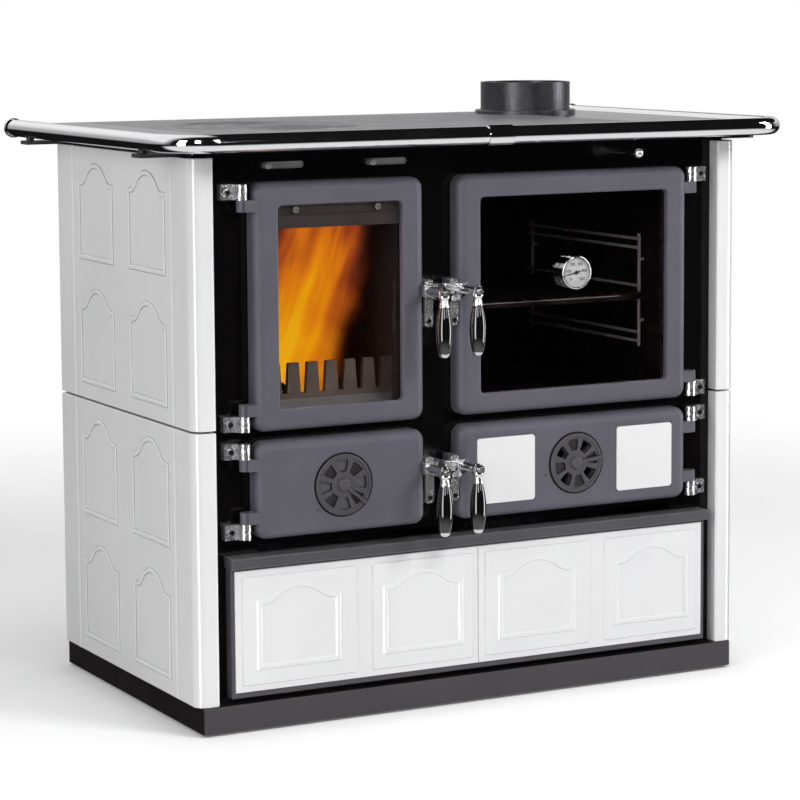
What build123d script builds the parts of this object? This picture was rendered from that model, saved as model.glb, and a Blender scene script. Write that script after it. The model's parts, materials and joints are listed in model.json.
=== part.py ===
"""Wood-fired cookstove with a hob, an oven, four hinged doors and a wood drawer.

Millimetres, +Z up, front towards -Y. The origin is the centre of the footprint, on the floor.
"""

import os
from math import cos, radians, sin

from build123d import *

os.makedirs("parts", exist_ok=True)

# ---------------------------------------------------------------- driving dimensions
# Overall
overall_depth = 661.0  # front of the rail's sleeve to the rail's rear ends
rail_tube_d = 26.0
rail_wall = 2.0
rail_side_reach = 56.0  # side tube's centre line beyond the plinth's end
rail_z = 843.0  # centre line of the rail
rail_reach = 60.0  # front tube's centre line ahead of the plinth
rail_bend_r = 60.0

# Plinth and feet
plinth_w = 894.0
plinth_d = 526.0
plinth_h = 38.0
plinth_wall = 3.0
foot_h = 4.0
foot_r = 20.0
foot_stem_r = 6.0
foot_inset = 50.0

# Casing
cladding_overhang = 7.5  # cladding's outer face beyond the plinth's end
cladding_t = 12.0
cladding_d = 509.5
cladding_set_back = 2.5  # front of the cladding behind the plinth's front
cladding_return_w = 34.5
cladding_corner_r = 18.0
cladding_seam_z = 434.0
cladding_seam_gap = 3.0
cladding_end_r = 1.5  # rounding of a panel's upper and lower ends
cladding_top_z = 820.0
sheet_t = 2.0
sheet_gap = 0.5

# Embossed arches
side_arch_w = 138.0
side_arch_pitch = 195.0
side_arch_centre = 260.5  # middle of both columns behind the plinth's front
side_arch_inset = 23.0  # from a panel's top or bottom edge
side_arch_gap = 40.0  # between two rows
side_arch_rise = 0.19  # of the arch's height
arch_shoulder = 0.06  # of the arch's width
arch_turn = 0.32  # where the curve turns, between shoulder and top
bead_w = 9.0
bead_h = 2.2
bead_taper = 48.0
groove_r = 14.0
groove_depth = 0.9
groove_front = 73.0
groove_rear = 450.0

# Front plate and sill
frame_set_back = 25.0  # front plate's face behind the plinth's front
frame_t = 3.0
sill_low_z = 237.0
sill_h = 16.0
sill_inset = 45.0  # sill's end inside the plinth's end
sill_reach = 28.0
air_gap_h = 11.0  # slot in the front plate, above the sill
air_gap_inset = 97.0  # slot's end inside the plinth's end

# Doors
door_t = 28.0
door_gap = 2.0  # between a door's rear face and the front plate
door_edge_r = 14.0
door_corner_r = 17.0
door_side_inset = 86.0  # outer edge of both door columns inside the plinth's end
left_doors_inner_x = -91.0
right_doors_inner_x = -35.0
upper_doors_low_z = 430.0
upper_doors_top_z = 783.0
lower_doors_low_z = 276.0
lower_doors_top_z = 416.0
opening_overlap = 15.0  # door over the edge of its opening
stile_w = 36.5
top_rail_h = 33.0
bottom_rail_h = 31.0
window_corner_r = 7.0
window_lip_t = 10.0
glass_lap = 12.0
glass_t = 4.0
seat_gap = 0.3
seal_w = 8.0

# Hinges
hinge_reach = 14.0  # pin's axis beyond the door's outer edge
hinge_y = 8.0  # pin's axis behind the plinth's front
hinge_pin_r = 4.0
pin_running_gap = 0.05
knuckle_r = 8.0
lug_h = 16.5
lug_gap = 0.4
bracket_h = 22.0
bracket_end_gap = 1.5  # bracket's outer end to the door's end
bracket_w = 22.0
bracket_t = 12.0
lug_reach = 30.0
lug_front = 2.0  # lug's front face behind the door's front

# Levers and latches
lever_reach = 27.5  # a lever's axis to the middle of the centre post
lever_drop_upper = 164.0  # axis below the upper doors' top
lever_drop_lower = 56.0
lever_ahead = 60.0  # grip's axis ahead of the plinth's front
lever_sleeve_r = 7.0
lever_pin_r = 4.0
lever_sleeve_l = 51.0
ferrule_r = 8.5
grip_top = 20.0  # below the lever's axis
grip_len = 67.0
grip_r = 12.0
grip_cap_len = 7.0
rod_r = 3.0
nose_t = 10.0
nose_r = 6.0
nose_reach = 18.0
nose_drop = 12.0
keeper_w = 16.0
keeper_h = 16.0
keeper_lap = 5.0  # keeper's lower face below the lever's axis
pad_w = 14.0
pad_h = 16.0
pad_t = 8.0
pad_pitch = 52.0
pad_rise = 6.0  # upper pad above the lever's axis

# Registers
register_r = 44.5
register_recess_gap = 2.5
register_recess = 3.0
register_t = 5.0
register_rim_w = 4.5
register_dish = 1.0
register_hole_inner = 19.0
register_hole_outer = 36.5
register_hole_angle = 31.0
register_seat_angle = 28.0  # air holes in the door, behind the disc
register_count = 8  # wells in the disc's face; every other one goes right through
register_well = 2.8
register_hub_r = 9.4
register_hub_h = 4.5
register_shaft_r = 5.0
register_rib_w = 4.5
register_rib_h = 3.0
register_turn_left = 3.0  # a through window's angle at rest
register_turn_right = 55.0
register_rib_left = -40.0
register_rib_right = 8.0
register_stop_left = 222.0
register_stop_right = 196.0
register_stop_r = 52.5

# Door tiles beside the lower register
door_tile = 98.0
door_tile_offset = 120.5
door_tile_t = 6.0
door_tile_gap = 0.5

# Hob
hob_overhang = 10.5  # top frame beyond the cladding on each side
hob_front_reach = 25.0  # top frame ahead of the plinth's front
top_frame_low_z = 826.0
top_frame_h = 25.0
hob_t = 8.0
hob_left_inset = 39.0  # hob plate's pocket inside the plinth's left end
hob_right_inset = 150.0
hob_front_border = 30.0
hob_rear_border = 26.0
hob_ledge = 18.0
hob_gap = 1.0
hob_joint = 0.6  # open joints where the four plate castings meet at the ring
ring_outer_r = 110.0
ring_inner_r = 70.0
ring_step = 8.0
ring_x = -225.0
ring_behind = 245.0
lift_hole_r = 4.0
lift_hole_pitch = 31.0
lift_hole_x = -64.0

# Flue collar
flue_outer_r = 73.0
flue_wall = 5.0
flue_flange_r = 82.0
flue_flange_t = 6.0
flue_h = 51.0  # above the hob
flue_inset = 117.0  # collar's axis inside the plinth's right end
flue_behind = 430.0
flue_boss_gap = 3.0

# Firebox
firebox_wall = 25.0
firebox_step = 18.5  # lining's inner face inside the edge of its opening
firebox_depth = 410.0
firebox_floor_t = 22.0
firebox_floor_z = 428.0
firebox_top_z = 790.0
grate_w = 150.0
grate_d = 210.0
grate_t = 10.0
grate_ledge = 6.0
grate_slots = 9
guard_t = 8.0
guard_behind = 36.0
guard_teeth = 7
guard_end_gap = 4.4  # last tooth from the guard's left end
guard_tooth_w = 16.0
guard_root_w = 22.0
guard_valley_z = 477.0
guard_top_z = 521.0
guard_lip_t = 3.5
guard_lip_top_z = 469.0
guard_lip_gap = 1.0  # under the lip
guard_lip_cut = 12.0  # lip's slanted right end

# Oven and lower boxes
oven_depth = 455.0
oven_clear = 5.0  # box wall outside its opening
rack_rod_r = 2.5
rack_front = 105.0
rack_rear = 430.0
rack_levels = (515.0, 587.0, 660.0)
rack_pair = 14.0
rack_inset = 8.0
rack_foot = 25.0  # wall feet inside the top and bottom levels
shelf_t = 3.0
shelf_lip = 5.0
shelf_front = 62.0
shelf_rear = 440.0
shelf_slots = 12
shelf_slot_w = 9.0
shelf_rim_side = 20.0
shelf_rim_end = 25.0
lower_box_depth = 440.0
ash_pan_h = 50.0
ash_pan_side_gap = 12.0
ash_pan_front_gap = 12.0

# Thermometer
thermo_r = 25.0
thermo_z = 632.0
thermo_depth = 14.0
thermo_wall = 2.5
dial_depth = 3.0

# Wood drawer
drawer_inset = 47.0  # drawer's end inside the plinth's end
drawer_front_t = 19.0
drawer_low_z = 50.0
drawer_top_z = 235.8
drawer_border_side = 5.0
drawer_border_low = 7.0
drawer_border_top = 1.5
drawer_tile_proud = 2.0
drawer_tile_t = 9.0
drawer_tile_gap = 1.0
drawer_field_h = 2.2  # raised fields on a tile
drawer_field_taper = 38.0
drawer_field_edge = 9.5
drawer_field_shift = 4.0  # first field's far edge left of the tile's middle
drawer_field_gap = 24.0
drawer_arch_w = 134.0
drawer_arch_left = 99.0  # middle of the left arch from the tile's left edge
drawer_arch_right = 93.0  # middle of the right arch from the tile's right edge
drawer_arch_low = 38.0  # above the drawer's lower edge
drawer_arch_h = 123.0
drawer_arch_rise = 0.17  # of the arch's height
drawer_box_inset = 18.0  # box's side inside the drawer's end
drawer_box_d = 455.0
drawer_box_low_z = 57.0
drawer_box_h = 160.0
drawer_wall = 2.0
runner_w = 20.0
runner_lap = 12.0

# Air sliders and bypass rod
slider_z = 805.5
slider_slot_w = 67.0
slider_slot_h = 10.0
slider_outer_inset = 25.0  # first slot's left end inside the left doors' outer edge
slider_inner_inset = 13.0  # second slot's right end inside their inner edge
slider_plate_gap = 0.3
slider_plate_t = 2.0
slider_knob_r = 4.5
slider_knob_l = 12.0
bypass_inset = 106.0  # rod's axis inside the right doors' outer edge
bypass_z = 808.0
bypass_rod_r = 3.5
bypass_ball_r = 7.5
bypass_reach = 32.0  # ball's centre ahead of the plinth's front
bypass_tail = 150.0
bypass_stop = 72.0  # stop collar behind the front plate
bypass_stop_r = 9.0
bypass_gap = 0.4

# Rail fittings
sleeve_r = 15.0
sleeve_l = 40.0
end_cap_r = 15.0
end_cap_l = 18.0
rail_fit_gap = 0.1
rail_bracket_w = 30.0
rail_bracket_t = 5.5
rail_bracket_front = 58.0
rail_bracket_rear = 500.0
bracket_stub_r = 6.0

# Rear hooks
hook_r = 3.0
hook_h = 46.0
hook_inset = 77.0  # middle of the pair inside the plinth's right end
hook_pitch = 16.0

# ---------------------------------------------------------------- derived places
front = -overall_depth / 2 + sleeve_r + rail_reach  # plinth's front face
rear = front + plinth_d
plinth_top = foot_h + plinth_h
frame_face = front + frame_set_back
frame_back = frame_face + frame_t
door_back = frame_face - door_gap
door_front = door_back - door_t
post_x = (left_doors_inner_x + right_doors_inner_x) / 2
plinth_end = plinth_w / 2
door_outer_x = plinth_end - door_side_inset
hinge_x = door_outer_x + hinge_reach
sill_end = plinth_end - sill_inset
air_gap_end = plinth_end - air_gap_inset
drawer_end = plinth_end - drawer_inset
drawer_box_end = drawer_end - drawer_box_inset
hob_left_x = hob_left_inset - plinth_end
hob_right_x = plinth_end - hob_right_inset
flue_x = plinth_end - flue_inset
hook_x = plinth_end - hook_inset
bypass_x = door_outer_x - bypass_inset
slider_x = (slider_outer_inset - door_outer_x, left_doors_inner_x - slider_inner_inset - slider_slot_w)
cladding_outer = plinth_end + cladding_overhang
cladding_inner = cladding_outer - cladding_t
cladding_front = front + cladding_set_back
cladding_rear = cladding_front + cladding_d
return_inner = cladding_outer - cladding_return_w
casing_x = cladding_inner - sheet_gap
top_z = top_frame_low_z + top_frame_h
hob_low_z = top_z - hob_t
hinge_axis_y = front + hinge_y
lever_y = front - lever_ahead
lever_z_upper = upper_doors_top_z - lever_drop_upper
lever_z_lower = lower_doors_top_z - lever_drop_lower
rail_half = plinth_end + rail_side_reach
rail_front_y = front - rail_reach
flue_y = front + flue_behind
ring_y = front + ring_behind

UPPER = (upper_doors_low_z, upper_doors_top_z)
LOWER = (lower_doors_low_z, lower_doors_top_z)
LEFT = (-door_outer_x, left_doors_inner_x)
RIGHT = (right_doors_inner_x, door_outer_x)
FORWARD = (0, -1, 0)
BACKWARD = (0, 1, 0)


# ---------------------------------------------------------------- helpers
def save(builder, name):
    """Label a finished piece and write it as its own file."""
    builder.part.label = name
    export_step(builder.part, f"parts/{name}.step")


def slab(x, y, z, mode=Mode.ADD):
    """A block between pairs of X, Y and Z limits."""
    with Locations((x[0], y[0], z[0])):
        Box(x[1] - x[0], y[1] - y[0], z[1] - z[0], align=(Align.MIN,) * 3, mode=mode)


def bar(start, axis, radius, length, mode=Mode.ADD):
    """A round bar from a point along an axis."""
    with Locations(Plane(origin=start, z_dir=axis)):
        Cylinder(radius, length, align=(Align.CENTER, Align.CENTER, Align.MIN), mode=mode)


def shrink(limits, amount):
    """A pair of limits drawn in at both ends."""
    return (limits[0] + amount, limits[1] - amount)


def middle(limits):
    return (limits[0] + limits[1]) / 2


def front_plane(x, y, z):
    """A sketch plane that looks at the stove: X to the right, Y up, normal to the front."""
    return Plane(origin=(x, y, z), x_dir=(1, 0, 0), z_dir=FORWARD)


def arch_outline(width, height, rise):
    """A cathedral arch, standing on the sketch's X axis: straight sides, short shoulders, S-curved top."""
    half = width / 2
    shoulder = width * arch_shoulder
    side = height - rise
    with BuildLine() as outline:
        base = Line((half, 0), (-half, 0))
        left = Line(base @ 1, (-half, side))
        left_step = Line(left @ 1, (-half + shoulder, side))
        turn = ((half - shoulder) * (1 - arch_turn), side + rise * arch_turn)
        left_low = TangentArc(left_step @ 1, (-turn[0], turn[1]), tangent=(1, 0))
        left_high = TangentArc(left_low @ 1, (0, height), tangent=left_low % 1)
        right_high = TangentArc(left_high @ 1, turn, tangent=(1, 0))
        right_low = TangentArc(right_high @ 1, (half - shoulder, side), tangent=right_high % 1)
        right_step = Line(right_low @ 1, (half, side))
        Line(right_step @ 1, base @ 0)
    make_face(outline.edges())


def arch_beads(plane, places, width, height, rise):
    """Raised beads in the shape of arches on a plane, at the middle of each arch's foot."""
    for place in places:
        foot = Plane(plane.from_local_coords(place), x_dir=plane.x_dir, z_dir=plane.z_dir)
        with BuildSketch(foot) as bead:
            arch_outline(width, height, rise)
            offset(amount=-bead_w, kind=Kind.INTERSECTION, mode=Mode.SUBTRACT)
        extrude(bead.sketch, amount=bead_h, taper=bead_taper)


# ---------------------------------------------------------------- plinth and casing
def build_plinth():
    with BuildPart() as feet:
        for x in (-1, 1):
            for y in (front + foot_inset, rear - foot_inset):
                place = (x * (plinth_w / 2 - foot_inset), y, 0)
                bar(place, (0, 0, 1), foot_r, foot_h - 2)
                bar(place, (0, 0, 1), foot_stem_r, plinth_top - plinth_wall)
    save(feet, "levelling_feet")

    with BuildPart() as plinth:
        with BuildSketch(Plane.XY.offset(foot_h)):
            with Locations((0, (front + rear) / 2)):
                RectangleRounded(plinth_w, plinth_d, 4)
        extrude(amount=plinth_h)
        fillet(plinth.faces().sort_by(Axis.Z)[-1].edges(), 1.5)
        inner = (plinth_w / 2 - plinth_wall, plinth_wall)
        slab((-inner[0], inner[0]), (front + plinth_wall, rear - plinth_wall),
             (foot_h, plinth_top - plinth_wall), Mode.SUBTRACT)
    save(plinth, "plinth")


def build_casing():
    panel_y = (frame_back, rear - sheet_t)
    with BuildPart() as sides:
        for side in (-1, 1):
            x = sorted((side * casing_x, side * (casing_x - sheet_t)))
            slab(x, panel_y, (plinth_top, top_frame_low_z))
    save(sides, "side_panels")

    with BuildPart() as back:
        slab((-casing_x, casing_x), (rear - sheet_t, rear), (plinth_top, top_frame_low_z))
        fillet(back.edges().filter_by(Axis.Y), 6)
        with Locations(Plane(origin=(0, rear, 640), z_dir=BACKWARD)):
            with GridLocations(110, 24, 6, 5):
                Box(70, 6, sheet_t * 3, mode=Mode.SUBTRACT)
    save(back, "back_panel")

    for side, name in ((-1, "left_cladding"), (1, "right_cladding")):
        with BuildPart() as cladding:
            seam = (cladding_seam_z, cladding_seam_z + cladding_seam_gap)
            for low, high in ((plinth_top, seam[0]), (seam[1], cladding_top_z)):
                cladding_shell(cladding, side, low, high)
                side_arches(side, low, high)
        save(cladding, name)


def cladding_shell(cladding, side, low, high):
    """One panel: a flat side, a rounded corner and a return beside the front plate."""
    outer = side * cladding_outer
    inner = side * cladding_inner
    depth = frame_face - cladding_front
    with BuildSketch(Plane.XY.offset(low)) as section:
        with BuildLine():
            Polyline(
                (outer, cladding_rear),
                (outer, cladding_front),
                (side * return_inner, cladding_front),
                (side * return_inner, cladding_front + depth),
                (inner, cladding_front + depth),
                (inner, cladding_rear),
                close=True,
            )
        make_face()
        front_corners = section.vertices().group_by(Axis.Y)[0]
        fillet(front_corners.sort_by(Axis.X)[0 if side < 0 else -1], cladding_corner_r)
        fillet(section.vertices().group_by(Axis.Y)[0].sort_by(Axis.X)[-1 if side < 0 else 0], 4)
    extrude(section.sketch, amount=high - low)
    ends = cladding.faces().filter_by(Axis.Z).filter_by(lambda face: low - 1 < face.center().Z < high + 1)
    fillet(ends.edges(), cladding_end_r)
    for behind in (groove_front, groove_rear):
        axis_x = outer + side * (groove_r - groove_depth)
        bar((axis_x, front + behind, low - 1), (0, 0, 1), groove_r, high - low + 2, Mode.SUBTRACT)


def side_arches(side, low, high):
    """Two columns and two rows of arches on one panel."""
    height = (high - low - 2 * side_arch_inset - side_arch_gap) / 2
    face = Plane(origin=(side * cladding_outer, front + side_arch_centre, low), x_dir=(0, side, 0),
                 z_dir=(side, 0, 0))
    rows = (side_arch_inset, side_arch_inset + height + side_arch_gap)
    places = [(x * side_arch_pitch / 2, z, 0) for x in (-1, 1) for z in rows]
    arch_beads(face, places, side_arch_w, height, height * side_arch_rise)


# ---------------------------------------------------------------- front plate
def door_openings():
    """The four openings behind the doors, as pairs of X and Z limits."""
    for x in (LEFT, RIGHT):
        for z in (UPPER, LOWER):
            yield shrink(x, opening_overlap), shrink(z, opening_overlap)


def drawer_opening():
    """The gap in the front plate that the drawer runs through."""
    half = drawer_box_end + 4
    return (-half, half), (plinth_top + 4, drawer_box_low_z + drawer_box_h + 5)


def build_front():
    with BuildPart() as plate:
        slab((-casing_x, casing_x), (frame_face, frame_back), (plinth_top, top_frame_low_z))
        for x, z in (*door_openings(), drawer_opening()):
            slab(x, (frame_face - 1, frame_back + 1), z, Mode.SUBTRACT)
        for x in slider_x:
            with BuildSketch(front_plane(x + slider_slot_w / 2, frame_face, slider_z)) as slot:
                SlotOverall(slider_slot_w, slider_slot_h)
            extrude(slot.sketch, amount=-frame_t, mode=Mode.SUBTRACT)
        bar((bypass_x, frame_face, bypass_z), BACKWARD, bypass_rod_r + bypass_gap, frame_t, Mode.SUBTRACT)
        gap_z = sill_low_z + sill_h + 2
        gap_x = (-air_gap_end, air_gap_end)
        slab(gap_x, (frame_face, frame_back), (gap_z, gap_z + air_gap_h), Mode.SUBTRACT)
    save(plate, "front_frame")

    with BuildPart() as sill:
        slab(
            (-sill_end, sill_end),
            (frame_face - sill_reach, frame_face),
            (sill_low_z, sill_low_z + sill_h),
        )
        fillet(sill.faces().sort_by(Axis.Y)[0].edges(), 2.5)
    save(sill, "front_sill")

    with BuildPart() as seals:
        for x, z in door_openings():
            slab(shrink(x, -seal_w - 2), (door_back + seat_gap, frame_face), shrink(z, -seal_w - 2))
            slab(shrink(x, -2), (door_back, frame_face), shrink(z, -2), Mode.SUBTRACT)
    save(seals, "door_seals")


# ---------------------------------------------------------------- hinges
def hinge_levels(z):
    """Middle heights of a door's brackets and lugs, from the top down."""
    lug_drop = (bracket_h + lug_h) / 2 + lug_gap
    top = z[1] - bracket_end_gap - bracket_h / 2
    low = z[0] + bracket_end_gap + bracket_h / 2
    return ((top, top - lug_drop), (low, low + lug_drop))


def build_hinges():
    with BuildPart() as hinges:
        for side in (-1, 1):
            for z in (UPPER, LOWER):
                for bracket_z, lug_z in hinge_levels(z):
                    hinge_bracket(side, bracket_z, lug_z)
    save(hinges, "hinges")


def hinge_bracket(side, bracket_z, lug_z):
    """A screwed block with a knuckle, and the pin that reaches through the door's lug."""
    x = side * hinge_x
    outer = side * (hinge_x + knuckle_r + bracket_w)
    z = (bracket_z - bracket_h / 2, bracket_z + bracket_h / 2)
    wall_side = side * (hinge_x + knuckle_r - 2)
    slab(sorted((outer, wall_side)), (frame_face - bracket_t, frame_face), z)
    slab(sorted((x, wall_side)), (hinge_axis_y - 4, hinge_axis_y + 5), z)
    slab(sorted((wall_side, wall_side + side * 5)), (hinge_axis_y - 4, frame_face), z)
    bar((x, hinge_axis_y, z[0]), (0, 0, 1), knuckle_r, bracket_h)
    screw_x = side * (hinge_x + knuckle_r + bracket_w / 2 + 1)
    bar((screw_x, frame_face - bracket_t, bracket_z), FORWARD, 5, 2)
    bar((screw_x, frame_face - bracket_t - 2, bracket_z), BACKWARD, 2.2, 2, Mode.SUBTRACT)
    toward = 1 if lug_z > bracket_z else -1
    start = bracket_z + toward * bracket_h / 2
    bar((x, hinge_axis_y, start), (0, 0, toward), hinge_pin_r, lug_gap + lug_h)


def hinge_lugs(side, z):
    """The two lugs of a door, bored for their pins."""
    for _, lug_z in hinge_levels(z):
        limits = (lug_z - lug_h / 2, lug_z + lug_h / 2)
        x = sorted((side * hinge_x, side * (hinge_x - lug_reach)))
        slab(x, (door_front + lug_front, door_back - 7), limits)
        bar((side * hinge_x, hinge_axis_y, limits[0]), (0, 0, 1), knuckle_r, lug_h)


def hinge_bores(side, z):
    for _, lug_z in hinge_levels(z):
        start = (side * hinge_x, hinge_axis_y, lug_z - lug_h / 2 - 1)
        bar(start, (0, 0, 1), hinge_pin_r + pin_running_gap, lug_h + 2, Mode.SUBTRACT)


# ---------------------------------------------------------------- doors
def door_blank(x, z):
    """A cast slab with rounded front edges and corners."""
    with BuildSketch(front_plane(middle(x), door_back, middle(z))) as face:
        RectangleRounded(x[1] - x[0], z[1] - z[0], door_corner_r)
    extrude(face.sketch, amount=door_t)


def round_front_edges(part):
    fillet(part.faces().sort_by(Axis.Y)[0].outer_wire().edges(), door_edge_r)


def latch_ears(side, lever_z, edge_x):
    """Cast ears beside the free edge of a door, behind the latch bracket's pads."""
    for drop in (-pad_rise, pad_pitch - pad_rise):
        z = lever_z - drop
        x = sorted((edge_x + side * 4, edge_x - side * pad_w))
        slab(x, (door_back - 17, door_back), (z - pad_h / 2, z + pad_h / 2))


def door_sides(x):
    """Hinge side of a door column and the X of its free edge."""
    if x == LEFT:
        return -1, x[1]
    return 1, x[0]


def window(x, z):
    """X and Z limits of a door's window."""
    return shrink(x, stile_w), (z[0] + bottom_rail_h, z[1] - top_rail_h)


def glazed_door(x, z, lever_z, name):
    side, edge_x = door_sides(x)
    window_x, window_z = window(x, z)
    centre = front_plane(middle(window_x), door_front, middle(window_z))
    with BuildPart() as door:
        door_blank(x, z)
        round_front_edges(door)
        with BuildSketch(centre) as light:
            RectangleRounded(window_x[1] - window_x[0], window_z[1] - window_z[0], window_corner_r)
        extrude(light.sketch, amount=-door_t, mode=Mode.SUBTRACT)
        fillet(door.faces().sort_by(Axis.Y)[0].inner_wires()[0].edges(), 3)
        rebate_y = (door_front + window_lip_t, door_back + 1)
        slab(shrink(window_x, -glass_lap), rebate_y, shrink(window_z, -glass_lap), Mode.SUBTRACT)
        hinge_lugs(side, z)
        hinge_bores(side, z)
        latch_ears(side, lever_z, edge_x)
    save(door, name)


def glass_pane(x, z, extra, name, bore=None):
    """A flat pane in the door's rebate, set back by the thickness of what lies before it."""
    window_x, window_z = window(x, z)
    start = door_front + window_lip_t + seat_gap + extra
    lap = glass_lap - 1
    with BuildPart() as pane:
        slab(shrink(window_x, -lap), (start, start + glass_t), shrink(window_z, -lap))
        if bore:
            bar((middle(x), start, bore), BACKWARD, 5, glass_t, Mode.SUBTRACT)
    save(pane, name)


def build_firebox_door():
    glazed_door(LEFT, UPPER, lever_z_upper, "firebox_door")
    clamp_t = 2.5
    glass_pane(LEFT, UPPER, clamp_t + seat_gap, "firebox_glass")
    window_x, window_z = window(LEFT, UPPER)
    start = door_front + window_lip_t + seat_gap
    with BuildPart() as clamp:
        slab(
            shrink(window_x, 2 - glass_lap),
            (start, start + clamp_t),
            (window_z[1] - 33, window_z[1] + glass_lap - 2),
        )
        slab(shrink(window_x, 1), (start - 2, start), (window_z[1] - 33, window_z[1] - 15))
        for x in (window_x[0] + 30, window_x[1] - 37):
            bar((x, start, window_z[1] - 7), FORWARD, 5, 3)
    save(clamp, "glass_clamp")


def build_oven_door():
    glazed_door(RIGHT, UPPER, lever_z_upper, "oven_door")
    glass_pane(RIGHT, UPPER, 0, "oven_glass", thermo_z)
    x = middle(RIGHT)
    glass_face = door_front + window_lip_t + seat_gap
    start = glass_face - seat_gap
    with BuildPart() as case:
        bar((x, start, thermo_z), FORWARD, thermo_r, thermo_depth)
        fillet(case.faces().sort_by(Axis.Y)[0].edges(), 2)
        bar(
            (x, start - thermo_depth, thermo_z),
            BACKWARD,
            thermo_r - thermo_wall,
            thermo_depth - 4,
            Mode.SUBTRACT,
        )
        bar((x, start, thermo_z), BACKWARD, 4.7, glass_t + 6)
        bar((x, start + glass_t + 1, thermo_z), BACKWARD, 9, 5)
    save(case, "thermometer_case")
    with BuildPart() as dial:
        bar((x, start - 4, thermo_z), FORWARD, thermo_r - thermo_wall - 0.3, thermo_depth - 4 - dial_depth)
    save(dial, "thermometer_dial")


def register_windows(plane, depth, turn, count, width):
    """A ring of wedge windows, cut from the plane backwards."""
    half = radians(width / 2)
    low = register_hole_inner
    high = register_hole_outer
    with BuildSketch(mode=Mode.PRIVATE) as wedge:
        with BuildLine():
            first = Line((low * cos(half), -low * sin(half)), (high * cos(half), -high * sin(half)))
            rim = ThreePointArc(first @ 1, (high, 0), (high * cos(half), high * sin(half)))
            second = Line(rim @ 1, (low * cos(half), low * sin(half)))
            ThreePointArc(second @ 1, (low, 0), first @ 0)
        make_face()
        fillet(wedge.vertices(), 2)
    with BuildSketch(plane) as holes:
        for step in range(count):
            add(Rot(0, 0, turn + step * 360 / count) * wedge.sketch)
    extrude(holes.sketch, amount=-depth, mode=Mode.SUBTRACT)


def solid_door(x, lever_z, name, tiles, turn, stop):
    """A lower door with an air register and, on the right, two let-in tiles."""
    side, edge_x = door_sides(x)
    centre = (middle(x), door_front, middle(LOWER))
    with BuildPart() as door:
        door_blank(x, LOWER)
        round_front_edges(door)
        bar(centre, BACKWARD, register_r + register_recess_gap, register_recess, Mode.SUBTRACT)
        hollow_x = shrink(x, opening_overlap + 6)
        hollow_z = shrink(LOWER, opening_overlap + 6)
        slab(hollow_x, (door_front + 14, door_back), hollow_z, Mode.SUBTRACT)
        plane = front_plane(centre[0], door_front, centre[2])
        register_windows(plane, door_t, turn, register_count // 2, register_seat_angle)
        stop_x = centre[0] + register_stop_r * cos(radians(stop))
        stop_z = centre[2] + register_stop_r * sin(radians(stop))
        bar((stop_x, door_front + 1, stop_z), FORWARD, 2.5, 3)
        bar(centre, BACKWARD, register_shaft_r + pin_running_gap, door_t, Mode.SUBTRACT)
        for offset_x in tiles:
            tile_x = (centre[0] + offset_x - door_tile / 2, centre[0] + offset_x + door_tile / 2)
            tile_z = (centre[2] - door_tile / 2, centre[2] + door_tile / 2)
            grow = -door_tile_gap
            slab(
                shrink(tile_x, grow),
                (door_front, door_front + door_tile_t - 2),
                shrink(tile_z, grow),
                Mode.SUBTRACT,
            )
        hinge_lugs(side, LOWER)
        hinge_bores(side, LOWER)
        latch_ears(side, lever_z, edge_x)
    save(door, name)


def register_disc(x, turn, rib, name):
    """A turning disc on its own short shaft, with a rib to push it by."""
    centre = (middle(x), door_front + register_recess - seat_gap, middle(LOWER))
    face_y = centre[1] - register_t
    plane = front_plane(centre[0], face_y, centre[2])
    half_count = register_count // 2
    with BuildPart() as disc:
        bar(centre, FORWARD, register_r, register_t)
        fillet(disc.faces().sort_by(Axis.Y)[0].edges(), 1.5)
        bar(
            (centre[0], face_y, centre[2]),
            BACKWARD,
            register_r - register_rim_w,
            register_dish,
            Mode.SUBTRACT,
        )
        register_windows(plane, register_well, turn + 180 / half_count, half_count, register_hole_angle)
        register_windows(plane, register_t, turn, half_count, register_hole_angle)
        bar((centre[0], face_y + register_dish, centre[2]), FORWARD, register_hub_r, register_hub_h)
        fillet(disc.faces().sort_by(Axis.Y)[0].edges(), register_hub_h * 0.8)
        rib_x_dir = (cos(radians(rib)), 0, sin(radians(rib)))
        with Locations(Plane(origin=(centre[0], face_y, centre[2]), x_dir=rib_x_dir, z_dir=FORWARD)):
            with Locations((register_hub_r - 3, 0, -register_dish)):
                length = register_r - register_hub_r + 5
                Box(length, register_rib_w, register_rib_h, align=(Align.MIN, Align.CENTER, Align.MIN))
        bar(centre, BACKWARD, register_shaft_r, 11)
    save(disc, name)


def build_lower_doors():
    closed = register_turn_left + 360 / register_count
    solid_door(LEFT, lever_z_lower, "ash_door", (), closed, register_stop_left)
    tiles = (-door_tile_offset, door_tile_offset)
    solid_door(RIGHT, lever_z_lower, "lower_door", tiles, register_turn_right, register_stop_right)
    register_disc(LEFT, register_turn_left, register_rib_left, "ash_register")
    register_disc(RIGHT, register_turn_right, register_rib_right, "lower_register")
    with BuildPart() as tiles:
        for offset_x in (-door_tile_offset, door_tile_offset):
            x = middle(RIGHT) + offset_x
            with BuildSketch(front_plane(x, door_front + door_tile_t - 2, middle(LOWER))) as tile:
                RectangleRounded(door_tile, door_tile, 5)
            extrude(tile.sketch, amount=door_tile_t)
        fillet(tiles.faces().filter_by(Plane.XZ).group_by(Axis.Y)[0].edges(), 1.5)
    save(tiles, "door_tiles")


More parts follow.
